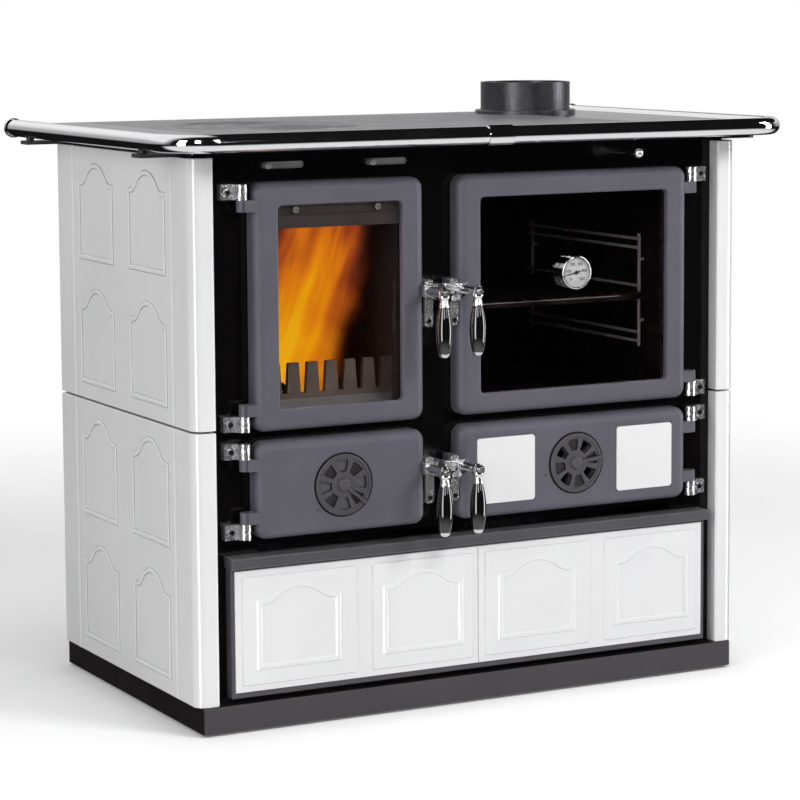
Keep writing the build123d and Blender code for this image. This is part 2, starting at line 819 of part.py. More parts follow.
# ---------------------------------------------------------------- levers and latches
def latch_bracket(x, lever_z, name):
    """Two screwed pads on a strap, a knuckle before the door and the lever's pivot pin."""
    side, edge_x = door_sides(x)
    lever_x = post_x + side * lever_reach
    pad_x = sorted((edge_x - side * 0.3, edge_x - side * pad_w))
    pad_y = (door_back - 17 - pad_t, door_back - 17)
    low = lever_z + pad_rise - pad_pitch - pad_h / 2
    knuckle_y = (front - 16, front - 6)
    with BuildPart() as bracket:
        for drop in (-pad_rise, pad_pitch - pad_rise):
            z = lever_z - drop
            slab(pad_x, pad_y, (z - pad_h / 2, z + pad_h / 2))
        slab(pad_x, (pad_y[0], pad_y[1] - 3), (low, lever_z + pad_rise + pad_h / 2))
        fillet(bracket.edges().filter_by(Axis.Y).group_by(Axis.Z)[0], 4)
        fillet(bracket.edges().filter_by(Axis.Y).group_by(Axis.Z)[-1], 4)
        knuckle_x = sorted((lever_x + side * 8, edge_x - side * pad_w))
        knuckle_z = (lever_z - 9, lever_z + 9)
        slab(knuckle_x, knuckle_y, knuckle_z)
        slab(pad_x, (knuckle_y[1] - 1, pad_y[0] + 1), knuckle_z)
        bar((lever_x, knuckle_y[0], lever_z), FORWARD, lever_pin_r, lever_sleeve_l + 4)
    save(bracket, name)


def build_lever(x, lever_z, lever_name, grip_name):
    """A sleeve that turns on the bracket's pin, with a latch nose behind and a hanging grip before."""
    side, _ = door_sides(x)
    lever_x = post_x + side * lever_reach
    rear_y = front - 16 - seat_gap
    tip = (lever_x - side * nose_reach, lever_z - nose_drop)
    grip_z = lever_z - grip_top
    with BuildPart() as lever:
        bar((lever_x, rear_y, lever_z), FORWARD, lever_sleeve_r, lever_sleeve_l)
        with BuildSketch(front_plane(0, rear_y, 0)) as nose:
            with Locations((lever_x, lever_z), tip):
                Circle(nose_r)
            make_hull()
        extrude(nose.sketch, amount=nose_t)
        with BuildSketch(Plane.XZ.offset(-lever_y)) as ferrule:
            with BuildLine():
                Polyline(
                    (lever_x, lever_z + 9),
                    (lever_x + 5, lever_z + 8),
                    (lever_x + ferrule_r, lever_z + 3),
                    (lever_x + ferrule_r, lever_z - 6),
                    (lever_x + 6, lever_z - 11),
                    (lever_x + ferrule_r - 1, grip_z + 1),
                    (lever_x + ferrule_r - 1, grip_z),
                    (lever_x, grip_z),
                    close=True,
                )
            make_face()
        revolve(ferrule.sketch, axis=Axis((lever_x, lever_y, 0), (0, 0, 1)))
        bar((lever_x, lever_y, grip_z), (0, 0, -1), rod_r, grip_len)
        bore = lever_pin_r + pin_running_gap
        bar((lever_x, rear_y, lever_z), FORWARD, bore, lever_sleeve_l + 5, Mode.SUBTRACT)
        cap_z = grip_z - grip_len
        with BuildSketch(Plane.XZ.offset(-lever_y)) as cap:
            with BuildLine():
                top = Line((lever_x, cap_z), (lever_x + 8, cap_z))
                side_curve = Spline(
                    top @ 1,
                    (lever_x + 6.5, cap_z - 0.6 * grip_cap_len),
                    (lever_x, cap_z - grip_cap_len),
                )
                Line(side_curve @ 1, top @ 0)
            make_face()
        revolve(cap.sketch, axis=Axis((lever_x, lever_y, 0), (0, 0, 1)))
    save(lever, lever_name)

    with BuildPart() as grip:
        with BuildSketch(Plane.XZ.offset(-lever_y)) as profile:
            with BuildLine():
                top = Line((lever_x + rod_r, grip_z), (lever_x + 7, grip_z))
                belly = Spline(
                    top @ 1,
                    (lever_x + grip_r, grip_z - grip_len * 0.48),
                    (lever_x + 8, grip_z - grip_len),
                )
                foot = Line(belly @ 1, (lever_x + rod_r, grip_z - grip_len))
                Line(foot @ 1, top @ 0)
            make_face()
        revolve(profile.sketch, axis=Axis((lever_x, lever_y, 0), (0, 0, 1)))
    save(grip, grip_name)


def build_levers():
    for x, lever_z, name in (
        (LEFT, lever_z_upper, "firebox"),
        (RIGHT, lever_z_upper, "oven"),
        (LEFT, lever_z_lower, "ash"),
        (RIGHT, lever_z_lower, "lower"),
    ):
        latch_bracket(x, lever_z, f"{name}_latch_bracket")
        build_lever(x, lever_z, f"{name}_lever", f"{name}_grip")
    with BuildPart() as keepers:
        for lever_z in (lever_z_upper, lever_z_lower):
            z = (lever_z - keeper_lap, lever_z - keeper_lap + keeper_h)
            x = (post_x - keeper_w / 2, post_x + keeper_w / 2)
            slab(x, (front - 28, front - 20), z)
            bar((post_x, front - 20, middle(z)), BACKWARD, 5, frame_face - front + 20)
        fillet(keepers.faces().sort_by(Axis.Y)[:2].edges(), 2)
    save(keepers, "latch_keepers")


# ---------------------------------------------------------------- hob and flue
def hob_limits():
    """X and Y limits of the pocket that holds the hob plate."""
    return (hob_left_x, hob_right_x), (front - hob_front_reach + hob_front_border, rear - hob_rear_border)


def build_hob():
    half = cladding_outer + hob_overhang
    x, y = hob_limits()
    boss_r = flue_flange_r + flue_boss_gap
    with BuildPart() as frame:
        slab((-half, half), (front - hob_front_reach, rear), (top_frame_low_z, top_z))
        fillet(frame.edges().filter_by(Axis.Z), 6)
        fillet(frame.faces().sort_by(Axis.Z)[-1].edges(), 2)
        with BuildSketch(Plane.XY.offset(top_z)) as pocket:
            with Locations((middle(x), middle(y))):
                Rectangle(x[1] - x[0], y[1] - y[0])
            with Locations((flue_x, flue_y)):
                Circle(boss_r, mode=Mode.SUBTRACT)
        extrude(pocket.sketch, amount=-hob_t, mode=Mode.SUBTRACT)
        with BuildSketch(Plane.XY.offset(top_z)) as gas_way:
            with Locations((middle(x), middle(y))):
                Rectangle(x[1] - x[0] - 2 * hob_ledge, y[1] - y[0] - 2 * hob_ledge)
            with Locations((flue_x, flue_y)):
                Circle(boss_r + hob_ledge, mode=Mode.SUBTRACT)
        extrude(gas_way.sketch, amount=-top_frame_h, mode=Mode.SUBTRACT)
        bar((flue_x, flue_y, top_z), (0, 0, -1), flue_outer_r - flue_wall + 2, top_frame_h, Mode.SUBTRACT)
        bar((flue_x, flue_y, top_z), (0, 0, -1), flue_outer_r + rail_fit_gap, hob_t, Mode.SUBTRACT)
    save(frame, "top_frame")

    with BuildPart() as hob:
        with BuildSketch(Plane.XY.offset(hob_low_z)) as plate:
            with Locations((middle(x), middle(y))):
                Rectangle(x[1] - x[0] - 2 * hob_gap, y[1] - y[0] - 2 * hob_gap)
            with Locations((flue_x, flue_y)):
                Circle(boss_r + hob_gap, mode=Mode.SUBTRACT)
        extrude(plate.sketch, amount=hob_t)
        centre = (ring_x, ring_y, top_z)
        bar(centre, (0, 0, -1), ring_outer_r + seat_gap, hob_t / 2, Mode.SUBTRACT)
        bar(centre, (0, 0, -1), ring_outer_r - ring_step, hob_t, Mode.SUBTRACT)
        with Locations(Plane(origin=(lift_hole_x, ring_y, hob_low_z), z_dir=(0, 0, 1))):
            with GridLocations(lift_hole_pitch, 1, 3, 1):
                Cylinder(
                    lift_hole_r,
                    hob_t,
                    align=(Align.CENTER, Align.CENTER, Align.MIN),
                    mode=Mode.SUBTRACT,
                )
        half_joint = hob_joint / 2
        slab((ring_x - half_joint, ring_x + half_joint), y, (hob_low_z, top_z), Mode.SUBTRACT)
        slab(x, (ring_y - half_joint, ring_y + half_joint), (hob_low_z, top_z), Mode.SUBTRACT)
    save(hob, "hob_plate")

    stepped_disc("hob_ring", ring_outer_r, ring_inner_r)
    stepped_disc("hob_disc", ring_inner_r - seat_gap, None)


def stepped_disc(name, radius, hole_r):
    """A cast ring or disc: a full upper half and a smaller lower half that locates it in its seat."""
    with BuildPart() as disc:
        centre = (ring_x, ring_y, top_z)
        bar(centre, (0, 0, -1), radius, hob_t / 2)
        bar((ring_x, ring_y, top_z - hob_t / 2), (0, 0, -1), radius - ring_step - seat_gap, hob_t / 2)
        if hole_r:
            bar(centre, (0, 0, -1), hole_r, hob_t / 2, Mode.SUBTRACT)
            bar(centre, (0, 0, -1), hole_r - ring_step, hob_t, Mode.SUBTRACT)
            groove_r = (radius + hole_r) / 2
        else:
            with Locations(Plane(origin=centre, z_dir=(0, 0, 1))):
                with Locations((radius * 0.72, 0)):
                    Box(16, 8, hob_t, mode=Mode.SUBTRACT)
            groove_r = radius * 0.5
        with BuildSketch(Plane(origin=centre)) as groove:
            Circle(groove_r + 1.5)
            Circle(groove_r - 1.5, mode=Mode.SUBTRACT)
        extrude(groove.sketch, amount=-1.2, mode=Mode.SUBTRACT)
    save(disc, name)


def build_flue():
    with BuildPart() as collar:
        bar((flue_x, flue_y, hob_low_z), (0, 0, 1), flue_outer_r, hob_t + flue_h)
        bar((flue_x, flue_y, top_z), (0, 0, 1), flue_flange_r, flue_flange_t)
        fillet(collar.edges().filter_by(GeomType.CIRCLE).group_by(Axis.Z)[-2].sort_by(SortBy.LENGTH)[-1], 2)
        bar((flue_x, flue_y, hob_low_z), (0, 0, 1), flue_outer_r - flue_wall, hob_t + flue_h, Mode.SUBTRACT)
    save(collar, "flue_collar")

    with BuildPart() as hooks:
        for step in (-1, 1):
            x = hook_x + step * hook_pitch / 2
            start = (x, rear + hook_r + 0.3, top_frame_low_z)
            with BuildLine() as path:
                rise = Line(start, (x, start[1], top_z + hook_h - 16))
                TangentArc(rise @ 1, (x, start[1] + 12, top_z + hook_h), tangent=rise % 1)
            with BuildSketch(Plane(origin=path.line @ 0, z_dir=path.line % 0)) as section:
                Circle(hook_r)
            sweep(section.sketch, path=path.line)
            slab(
                (x - 6, x + 6),
                (rear, rear + 0.6 + 2 * hook_r),
                (top_frame_low_z - 10, top_frame_low_z + 4),
            )
    save(hooks, "rear_hooks")


# ---------------------------------------------------------------- rail
def tube(start, axis, length):
    bar(start, axis, rail_tube_d / 2, length)
    bar(start, axis, rail_tube_d / 2 - rail_wall, length, Mode.SUBTRACT)


def build_rail():
    straight_x = rail_half - rail_bend_r
    side_start = rail_front_y + rail_bend_r
    side_end = overall_depth / 2 - end_cap_l
    with BuildPart() as tubes:
        for side in (-1, 1):
            tube((0, rail_front_y, rail_z), (side, 0, 0), straight_x)
            tube((side * rail_half, side_start, rail_z), BACKWARD, side_end - side_start)
    save(tubes, "rail_tubes")

    with BuildPart() as fittings:
        for side in (-1, 1):
            plane = Plane(origin=(side * rail_half, side_start, rail_z), z_dir=FORWARD)
            with BuildSketch(plane) as section:
                Circle(rail_tube_d / 2)
                Circle(rail_tube_d / 2 - rail_wall, mode=Mode.SUBTRACT)
            centre = (side * straight_x, side_start, rail_z)
            revolve(section.sketch, axis=Axis(centre, (0, 0, -side)), revolution_arc=90)
            bar((side * rail_half, side_end, rail_z), BACKWARD, end_cap_r, 6)
            with BuildSketch(Plane.XY.offset(rail_z)) as dome:
                with BuildLine():
                    x = side * rail_half
                    base = Line((x, side_end + 6), (x + end_cap_r - 2, side_end + 6))
                    crown = JernArc(base @ 1, (0, 1), 8, 80)
                    tip = Line(crown @ 1, (x, side_end + end_cap_l))
                    Line(tip @ 1, base @ 0)
                make_face()
            revolve(dome.sketch, axis=Axis((side * rail_half, 0, rail_z), (0, 1, 0)))
        inner = rail_tube_d / 2 + rail_fit_gap
        bar((-sleeve_l / 2, rail_front_y, rail_z), (1, 0, 0), sleeve_r, sleeve_l)
        bar((-sleeve_l / 2, rail_front_y, rail_z), (1, 0, 0), inner, sleeve_l, Mode.SUBTRACT)
    save(fittings, "rail_fittings")

    tube_low = rail_z - rail_tube_d / 2
    with BuildPart() as brackets:
        for side in (-1, 1):
            for behind in (rail_bracket_front, rail_bracket_rear):
                y = front + behind
                x = sorted((side * casing_x, side * (rail_half + bracket_stub_r + 4)))
                z = (top_frame_low_z - rail_bracket_t, top_frame_low_z)
                slab(x, (y - rail_bracket_w / 2, y + rail_bracket_w / 2), z)
                bar((side * rail_half, y, z[1]), (0, 0, 1), bracket_stub_r, tube_low - z[1] + 0.6)
                tube_hole = (side * rail_half, y - rail_bracket_w, rail_z)
                bar(tube_hole, BACKWARD, rail_tube_d / 2, 2 * rail_bracket_w, Mode.SUBTRACT)
    save(brackets, "rail_brackets")


# ---------------------------------------------------------------- firebox and ash box
def build_firebox():
    opening_x = shrink(LEFT, opening_overlap)
    inner_x = shrink(opening_x, firebox_step)
    outer_x = shrink(inner_x, -firebox_wall)
    floor_z = (firebox_floor_z, firebox_floor_z + firebox_floor_t)
    rear_y = frame_back + firebox_depth
    grate_x = (middle(inner_x) - grate_w / 2, middle(inner_x) + grate_w / 2)
    grate_y = (frame_back + 120, frame_back + 120 + grate_d)
    grate_z = (floor_z[1] - grate_t, floor_z[1])
    with BuildPart() as liner:
        slab(outer_x, (frame_back, rear_y), (floor_z[0], firebox_top_z))
        slab(inner_x, (frame_back, rear_y - firebox_wall), (floor_z[1], firebox_top_z), Mode.SUBTRACT)
        slab(shrink(grate_x, -0.5), shrink(grate_y, -0.5), grate_z, Mode.SUBTRACT)
        slab(shrink(grate_x, grate_ledge), shrink(grate_y, grate_ledge), floor_z, Mode.SUBTRACT)
    save(liner, "firebox_liner")

    with BuildPart() as grate:
        slab(grate_x, grate_y, grate_z)
        with Locations((middle(grate_x), middle(grate_y), middle(grate_z))):
            with GridLocations(1, (grate_d - 30) / grate_slots, 1, grate_slots):
                Box(grate_w - 30, 9, grate_t, mode=Mode.SUBTRACT)
    save(grate, "firebox_grate")

    with BuildPart() as guard:
        y = (front + guard_behind, front + guard_behind + guard_t)
        guard_x = shrink(inner_x, 1)
        slab(guard_x, y, (floor_z[1], guard_valley_z))
        first = guard_x[1] - guard_tooth_w / 2
        guard_pitch = (first - guard_x[0] - guard_end_gap - guard_tooth_w / 2) / (guard_teeth - 1)
        for step in range(guard_teeth):
            x = first - step * guard_pitch
            with BuildSketch(front_plane(x, y[1], 0)) as tooth:
                with BuildLine():
                    Polyline(
                        (-guard_root_w / 2 if step < guard_teeth - 1 else -guard_tooth_w / 2, guard_valley_z),
                        (-guard_tooth_w / 2, guard_top_z),
                        (guard_tooth_w / 2, guard_top_z),
                        (guard_root_w / 2 if step else guard_tooth_w / 2, guard_valley_z),
                        close=True,
                    )
                make_face()
            extrude(tooth.sketch, amount=guard_t)
        lip_low = floor_z[1] + guard_lip_gap
        lip_w = guard_x[1] - guard_x[0]
        with BuildSketch(front_plane(guard_x[0], y[0], 0)) as lip:
            with BuildLine():
                Polyline(
                    (0, lip_low),
                    (0, guard_lip_top_z),
                    (lip_w, guard_lip_top_z),
                    (lip_w - guard_lip_cut, lip_low),
                    close=True,
                )
            make_face()
        extrude(lip.sketch, amount=guard_lip_t)
    save(guard, "log_guard")


def build_boxes():
    ash_x, ash_z = shrink(LEFT, opening_overlap), shrink(LOWER, opening_overlap)
    low_x, low_z = shrink(RIGHT, opening_overlap), shrink(LOWER, opening_overlap)
    rear_y = frame_back + lower_box_depth
    with BuildPart() as boxes:
        for x, z, roof in ((ash_x, ash_z, False), (low_x, low_z, True)):
            top = z[1] + oven_clear + sheet_t if roof else firebox_floor_z
            shell_x = shrink(x, -oven_clear - sheet_t)
            slab(shell_x, (frame_back, rear_y), (z[0] - sheet_t - 2, top))
            inside_top = top - sheet_t if roof else top
            slab(
                shrink(shell_x, sheet_t),
                (frame_back, rear_y - sheet_t),
                (z[0] - 2, inside_top),
                Mode.SUBTRACT,
            )
    save(boxes, "lower_boxes")

    pan_x = shrink(ash_x, ash_pan_side_gap)
    pan_y = (frame_back + ash_pan_front_gap, rear_y - sheet_t - 20)
    pan_z = (ash_z[0] - 2, ash_z[0] - 2 + ash_pan_h)
    with BuildPart() as pan:
        slab(pan_x, pan_y, pan_z)
        slab(shrink(pan_x, sheet_t), shrink(pan_y, sheet_t), (pan_z[0] + sheet_t, pan_z[1]), Mode.SUBTRACT)
        grip_z = middle(pan_z) + 8
        slab((middle(pan_x) - 40, middle(pan_x) + 40), (pan_y[0] - 10, pan_y[0]), (grip_z, grip_z + 4))
    save(pan, "ash_pan")

    oven_x, oven_z = shrink(RIGHT, opening_overlap), shrink(UPPER, opening_overlap)
    shell_x, shell_z = shrink(oven_x, -oven_clear - sheet_t), shrink(oven_z, -oven_clear - sheet_t)
    oven_rear = frame_back + oven_depth
    with BuildPart() as oven:
        slab(shell_x, (frame_back, oven_rear), shell_z)
        slab(
            shrink(shell_x, sheet_t),
            (frame_back, oven_rear - sheet_t),
            shrink(shell_z, sheet_t),
            Mode.SUBTRACT,
        )
    save(oven, "oven_box")

    wall_x = shrink(shell_x, sheet_t)
    rod_low = rack_levels[0] - rack_pair / 2
    rod_high = rack_levels[-1] + rack_pair / 2
    with BuildPart() as racks:
        for side, wall in ((1, wall_x[0]), (-1, wall_x[1])):
            x = wall + side * rack_inset
            for behind in (rack_front, rack_rear):
                y = front + behind
                bar((x, y, rod_low - 8), (0, 0, 1), rack_rod_r, rod_high - rod_low + 16)
                for z in (rack_levels[0] + rack_foot, rack_levels[-1] - rack_foot):
                    bar((wall, y, z), (side, 0, 0), rack_rod_r, rack_inset)
            for level in rack_levels:
                for z in (level - rack_pair / 2, level + rack_pair / 2):
                    start = (x + side * 1.5 * rack_rod_r, front + rack_front - 8, z)
                    bar(start, BACKWARD, rack_rod_r, rack_rear - rack_front + 16)
    save(racks, "oven_side_racks")

    seat_z = rack_levels[1] - rack_pair / 2 + rack_rod_r
    shelf_x = shrink(wall_x, rack_inset + rack_rod_r + seat_gap)
    shelf_y = (front + shelf_front, front + shelf_rear)
    with BuildPart() as shelf:
        slab(shelf_x, shelf_y, (seat_z, seat_z + shelf_t))
        with Locations((middle(shelf_x), middle(shelf_y), seat_z + shelf_t / 2)):
            pitch = (shelf_x[1] - shelf_x[0] - 2 * shelf_rim_side) / shelf_slots
            slot_l = shelf_y[1] - shelf_y[0] - 2 * shelf_rim_end
            with GridLocations(pitch, 1, shelf_slots, 1):
                Box(shelf_slot_w, slot_l, shelf_t, mode=Mode.SUBTRACT)
        slab(
            shrink(shelf_x, rack_rod_r * 2 + 2),
            (shelf_y[0], shelf_y[0] + sheet_t),
            (seat_z - shelf_lip, seat_z),
        )
    save(shelf, "oven_shelf")


# ---------------------------------------------------------------- wood drawer
def build_drawer():
    half = drawer_end
    face_y = front + frame_set_back - drawer_front_t
    z = (drawer_low_z, drawer_top_z)
    tile_z = (z[0] + drawer_border_low, z[1] - drawer_border_top)
    tile_back = face_y - drawer_tile_proud + drawer_tile_t
    with BuildPart() as panel:
        slab((-half, half), (face_y, frame_face - seat_gap), z)
        slab(
            (-half + drawer_border_side, half - drawer_border_side),
            (face_y, tile_back),
            tile_z,
            Mode.SUBTRACT,
        )
        slab(shrink((-half, half), 20), (tile_back + 2, frame_face), shrink(z, 18), Mode.SUBTRACT)
    save(panel, "drawer_front")

    with BuildPart() as tiles:
        inner = half - drawer_border_side - drawer_tile_gap / 2
        tile_w = inner - drawer_tile_gap / 2
        for side in (-1, 1):
            x = sorted((side * drawer_tile_gap / 2, side * inner))
            slab(x, (face_y - drawer_tile_proud, tile_back), shrink(tile_z, drawer_tile_gap / 2))
        fillet(tiles.faces().filter_by(Plane.XZ).group_by(Axis.Y)[0].edges(), 1.5)
        field_z = shrink(tile_z, drawer_field_edge)
        for left in (-inner, drawer_tile_gap / 2):
            split = left + tile_w / 2 - drawer_field_shift
            last = left + tile_w - drawer_field_edge
            for x in ((left + drawer_field_edge, split), (split + drawer_field_gap, last)):
                field_face = front_plane(middle(x), face_y - drawer_tile_proud, middle(field_z))
                with BuildSketch(field_face) as field:
                    RectangleRounded(x[1] - x[0], field_z[1] - field_z[0], 4)
                extrude(field.sketch, amount=drawer_field_h, taper=drawer_field_taper)
        plane = front_plane(0, face_y - drawer_tile_proud - drawer_field_h, z[0])
        arch_offsets = (drawer_arch_left, tile_w - drawer_arch_right)
        centres = [left + offset_x for left in (-inner, 0) for offset_x in arch_offsets]
        places = [(x, drawer_arch_low, 0) for x in centres]
        arch_beads(plane, places, drawer_arch_w, drawer_arch_h, drawer_arch_h * drawer_arch_rise)
    save(tiles, "drawer_tiles")

    box_z = (drawer_box_low_z, drawer_box_low_z + drawer_box_h)
    box_x = (-drawer_box_end, drawer_box_end)
    box_y = (frame_face - seat_gap, frame_face - seat_gap + drawer_box_d)
    with BuildPart() as box:
        slab(box_x, box_y, box_z)
        slab(
            shrink(box_x, drawer_wall),
            shrink(box_y, drawer_wall),
            (box_z[0] + drawer_wall, box_z[1]),
            Mode.SUBTRACT,
        )
    save(box, "drawer_box")

    with BuildPart() as runners:
        for side in (-1, 1):
            lap_x = side * (drawer_box_end - runner_lap)
            wall_x = side * (drawer_box_end + 3)
            out_x = side * (casing_x - sheet_t)
            y = (frame_back, frame_back + drawer_box_d)
            slab(sorted((lap_x, out_x)), y, (box_z[0] - sheet_t, box_z[0]))
            slab(sorted((wall_x, wall_x + side * sheet_t)), y, (box_z[0], box_z[0] + runner_w))
    save(runners, "drawer_runners")


# ---------------------------------------------------------------- air sliders and bypass rod
def build_controls():
    for x, name in zip(slider_x, ("primary_air_slider", "secondary_air_slider")):
        with BuildPart() as slider:
            start = frame_back + slider_plate_gap
            z = (slider_z - slider_slot_h, slider_z + slider_slot_h)
            slab((x - 12, x + slider_slot_w + 12), (start, start + slider_plate_t), z)
            knob_x = x + slider_knob_r + 1
            bar((knob_x, start, slider_z), FORWARD, 2.5, frame_t + 3)
            bar((knob_x, frame_face - 2, slider_z), FORWARD, slider_knob_r, slider_knob_l)
            fillet(slider.faces().sort_by(Axis.Y)[0].edges(), 2)
        save(slider, name)

    with BuildPart() as rod:
        ball_y = front - bypass_reach
        bar((bypass_x, ball_y, bypass_z), BACKWARD, bypass_rod_r, bypass_reach + bypass_tail)
        with Locations((bypass_x, ball_y, bypass_z)):
            Sphere(bypass_ball_r)
        bar((bypass_x, frame_back + bypass_stop, bypass_z), BACKWARD, bypass_stop_r, 3)
    save(rod, "bypass_rod")


build_plinth()
build_casing()
build_front()
build_hinges()
build_firebox_door()
build_oven_door()
build_lower_doors()
build_levers()
build_hob()
build_flue()
build_rail()
build_firebox()
build_boxes()
build_drawer()
build_controls()
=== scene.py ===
"""Wood-burning range cooker in white vitreous enamel, seen in a plain studio.

The solid parts come packed as a fixed frame. This file gives each of them its finish and adds what only shows: the
fire, the screws, the rings cast into the hob, painted shade round the air registers, a painted highlight on the oven
shelf's lip, the printing of the oven thermometer and the stage. Some finishes also paint shade: at the foot of the
white parts' raised lines, in the registers' wells and on the plinth's sides.
"""

import json
import math
import random

import bpy
from bpy.props import FloatProperty, FloatVectorProperty, IntProperty, PointerProperty
from mathutils import Matrix, Vector


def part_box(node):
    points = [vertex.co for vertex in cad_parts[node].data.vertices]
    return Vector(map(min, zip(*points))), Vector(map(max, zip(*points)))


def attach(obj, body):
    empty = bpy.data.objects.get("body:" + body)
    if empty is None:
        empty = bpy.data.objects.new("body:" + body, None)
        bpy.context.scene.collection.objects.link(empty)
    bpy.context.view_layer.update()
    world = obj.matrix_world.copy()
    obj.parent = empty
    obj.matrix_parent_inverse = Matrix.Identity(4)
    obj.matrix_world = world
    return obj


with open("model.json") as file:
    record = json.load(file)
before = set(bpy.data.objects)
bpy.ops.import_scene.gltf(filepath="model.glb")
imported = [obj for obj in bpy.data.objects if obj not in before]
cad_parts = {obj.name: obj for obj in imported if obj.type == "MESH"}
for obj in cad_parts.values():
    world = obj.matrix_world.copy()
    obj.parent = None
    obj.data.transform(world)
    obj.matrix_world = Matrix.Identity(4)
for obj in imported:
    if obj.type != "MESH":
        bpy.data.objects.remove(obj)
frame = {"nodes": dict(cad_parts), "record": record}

bl_info = {
    "name": "Wood range cooker",
    "version": (1, 0, 0),
    "blender": (4, 5, 0),
    "location": "3D View > Sidebar > Cooker",
    "description": "Dresses a wood-burning range cooker with its finishes, fire, fixings and stage",
    "category": "Object",
}

MM = 0.001
FORWARD = Vector((0, -1, 0))
BACKWARD = Vector((0, 1, 0))
UNIT = (1, 1, 1)
ANGLE = {"subtype": "ANGLE", "unit": "ROTATION"}
FLOAT, COLOUR, VECTOR, WHOLE = "NodeSocketFloat", "NodeSocketColor", "NodeSocketVector", "NodeSocketInt"

# Hob: the height of its top, the middle of the ring, the radii of disc and ring, and how far the cast rings stay
# from an edge.
HOB_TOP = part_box("hob_plate")[1].z
RING = (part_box("hob_ring")[0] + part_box("hob_ring")[1]) / 2
DISC_R = (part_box("hob_disc")[1].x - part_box("hob_disc")[0].x) / 2
RING_R = (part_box("hob_ring")[1].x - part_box("hob_ring")[0].x) / 2
RING_MARGIN = 8 * MM

# Depths at which a finish changes: behind the plinth's front bar and in a register's well, where a darker colour
# paints shade, and behind the log guard's lip.
BAR_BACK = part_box("plinth")[0].y + 1 * MM
LIP_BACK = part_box("log_guard")[0].y + 3 * MM
WELL_BACK = -0.2615

# Height of one raised step on the white parts, and where the claddings' and the drawer tiles' ground lies.
RELIEF = 2.2 * MM
CLADDING_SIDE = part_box("right_cladding")[1].x - RELIEF
TILE_FACE = -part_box("drawer_tiles")[0].y - 2 * RELIEF

# Painted shade round each register, a flat black ring: the depth of the door's recess, and the ring's radii and
# thickness.
RECESS_BOTTOM = -0.2575
GAP_SHADE_INNER, GAP_SHADE_OUTER, GAP_SHADE_THICK = 0.0447, 0.0469, 0.1 * MM

# Fixings. Back screws: from the panel's edges. Hinge bolts: up from the lowest hinge's foot, down from the highest
# one's top, in from the outer side and ahead of the back. Latch bolts: from the bracket's edge, which is the right
# one on the left doors, ahead of its back, and up and down from its middle. Clamp screws: down from its top.
BACK_LOW, BACK_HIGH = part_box("back_panel")
BACK_INSET = 12 * MM
HINGE_BOLTS_UP, HINGE_BOLTS_DOWN = (11 * MM, 126 * MM), (339 * MM, 11 * MM)
HINGE_BOLT_IN, HINGE_BOLT_AHEAD = 10 * MM, 14 * MM
LATCH_BRACKETS = {
    "firebox_latch_bracket": "firebox_door",
    "oven_latch_bracket": "oven_door",
    "ash_latch_bracket": "ash_door",
    "lower_latch_bracket": "lower_door",
}
LEFT_BRACKETS_BELOW_X = -0.07
PAD_HALF_WIDTH, LATCH_BOLT_AHEAD, LATCH_BOLT_ASIDE = 0.00685, 8 * MM, 26 * MM
CLAMP_SCREWS_X, CLAMP_SCREW_DOWN = (-0.2945, -0.1645), 17 * MM

# Fire: logs as x, radius, front end and length; the bed's corners; sheets of flame as y and half thickness; where
# the flames' ridge crosses one height, how far it sways, and how far from it the glow dies.
GRATE_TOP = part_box("firebox_grate")[1].z
LINER_LEFT, LINER_RIGHT = -0.3275, -0.1245
LOGS = ((-0.268, 0.021, -0.185, 0.27), (-0.196, 0.019, -0.175, 0.26))
BED_X, BED_Y = (-0.316, -0.140), (-0.198, 0.110)
FLAME_SHEETS = ((-0.198, 0.007), (-0.176, 0.008), (-0.152, 0.008))
FLAME_TOP_Z = 0.785
FLAME_RIDGE_X, FLAME_RIDGE_Z, FLAME_SWAY, FLAME_REACH = -0.286, 0.548, 0.06, 0.145

# Oven: the painted highlight strip's depth and height on the shelf's lip, and how far it stays from the shelf's left
# and right end.
LIP_PROUD, LIP_TALL, LIP_LEFT_GAP, LIP_RIGHT_GAP = 0.6 * MM, 1.0 * MM, 6 * MM, 60 * MM
DIAL_LOW, DIAL_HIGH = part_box("thermometer_dial")

# Soft boxes that only mirrors see: turn to the right of straight ahead and half width in degrees, lowest and
# highest slope.
SOFT_BOXES = ((-62, 9, -0.3, 0.7), (-25, 6, 0.2, 0.7), (20, 4, 0.2, 0.7), (67, 9, -0.3, 0.65))
LAMP_AIM = Vector((0.0, -0.1, 0.45))
FLOOR_REACH, FLOOR_RINGS, FLOOR_SPOKES = 3.2, 24, 96


# ---------------------------------------------------------------- settings
def number_setting(name, description, default, **more):
    return FloatProperty(name=name, description=description, default=default, **more)


def count_setting(name, description, default, least=0):
    return IntProperty(name=name, description=description, default=default, min=least)


def length_setting(name, description, default):
    return number_setting(name, description, default, min=0.0, subtype="DISTANCE", unit="LENGTH", precision=4)


def colour_setting(name, description, default):
    return FloatVectorProperty(
        name=name, description=description, default=default, subtype="COLOR", size=3, min=0.0, max=1.0
    )


class EnamelSettings(bpy.types.PropertyGroup):
    """White enamel of the claddings and tiles, dark enamel of the oven."""

    colour: colour_setting("White", "Colour of the fired white enamel", (0.80, 0.80, 0.805))
    shade: colour_setting("Thin white", "Slightly greyer white where the enamel runs thin", (0.745, 0.745, 0.755))
    ripple: length_setting("Ripple", "Height of the orange-peel ripple", 0.00012)
    speck: colour_setting("Speck", "Flecks in the dark inner enamel", (0.060, 0.050, 0.054))
    inner: colour_setting("Inner enamel", "Ground colour of the dark inner enamel", (0.014, 0.0085, 0.009))


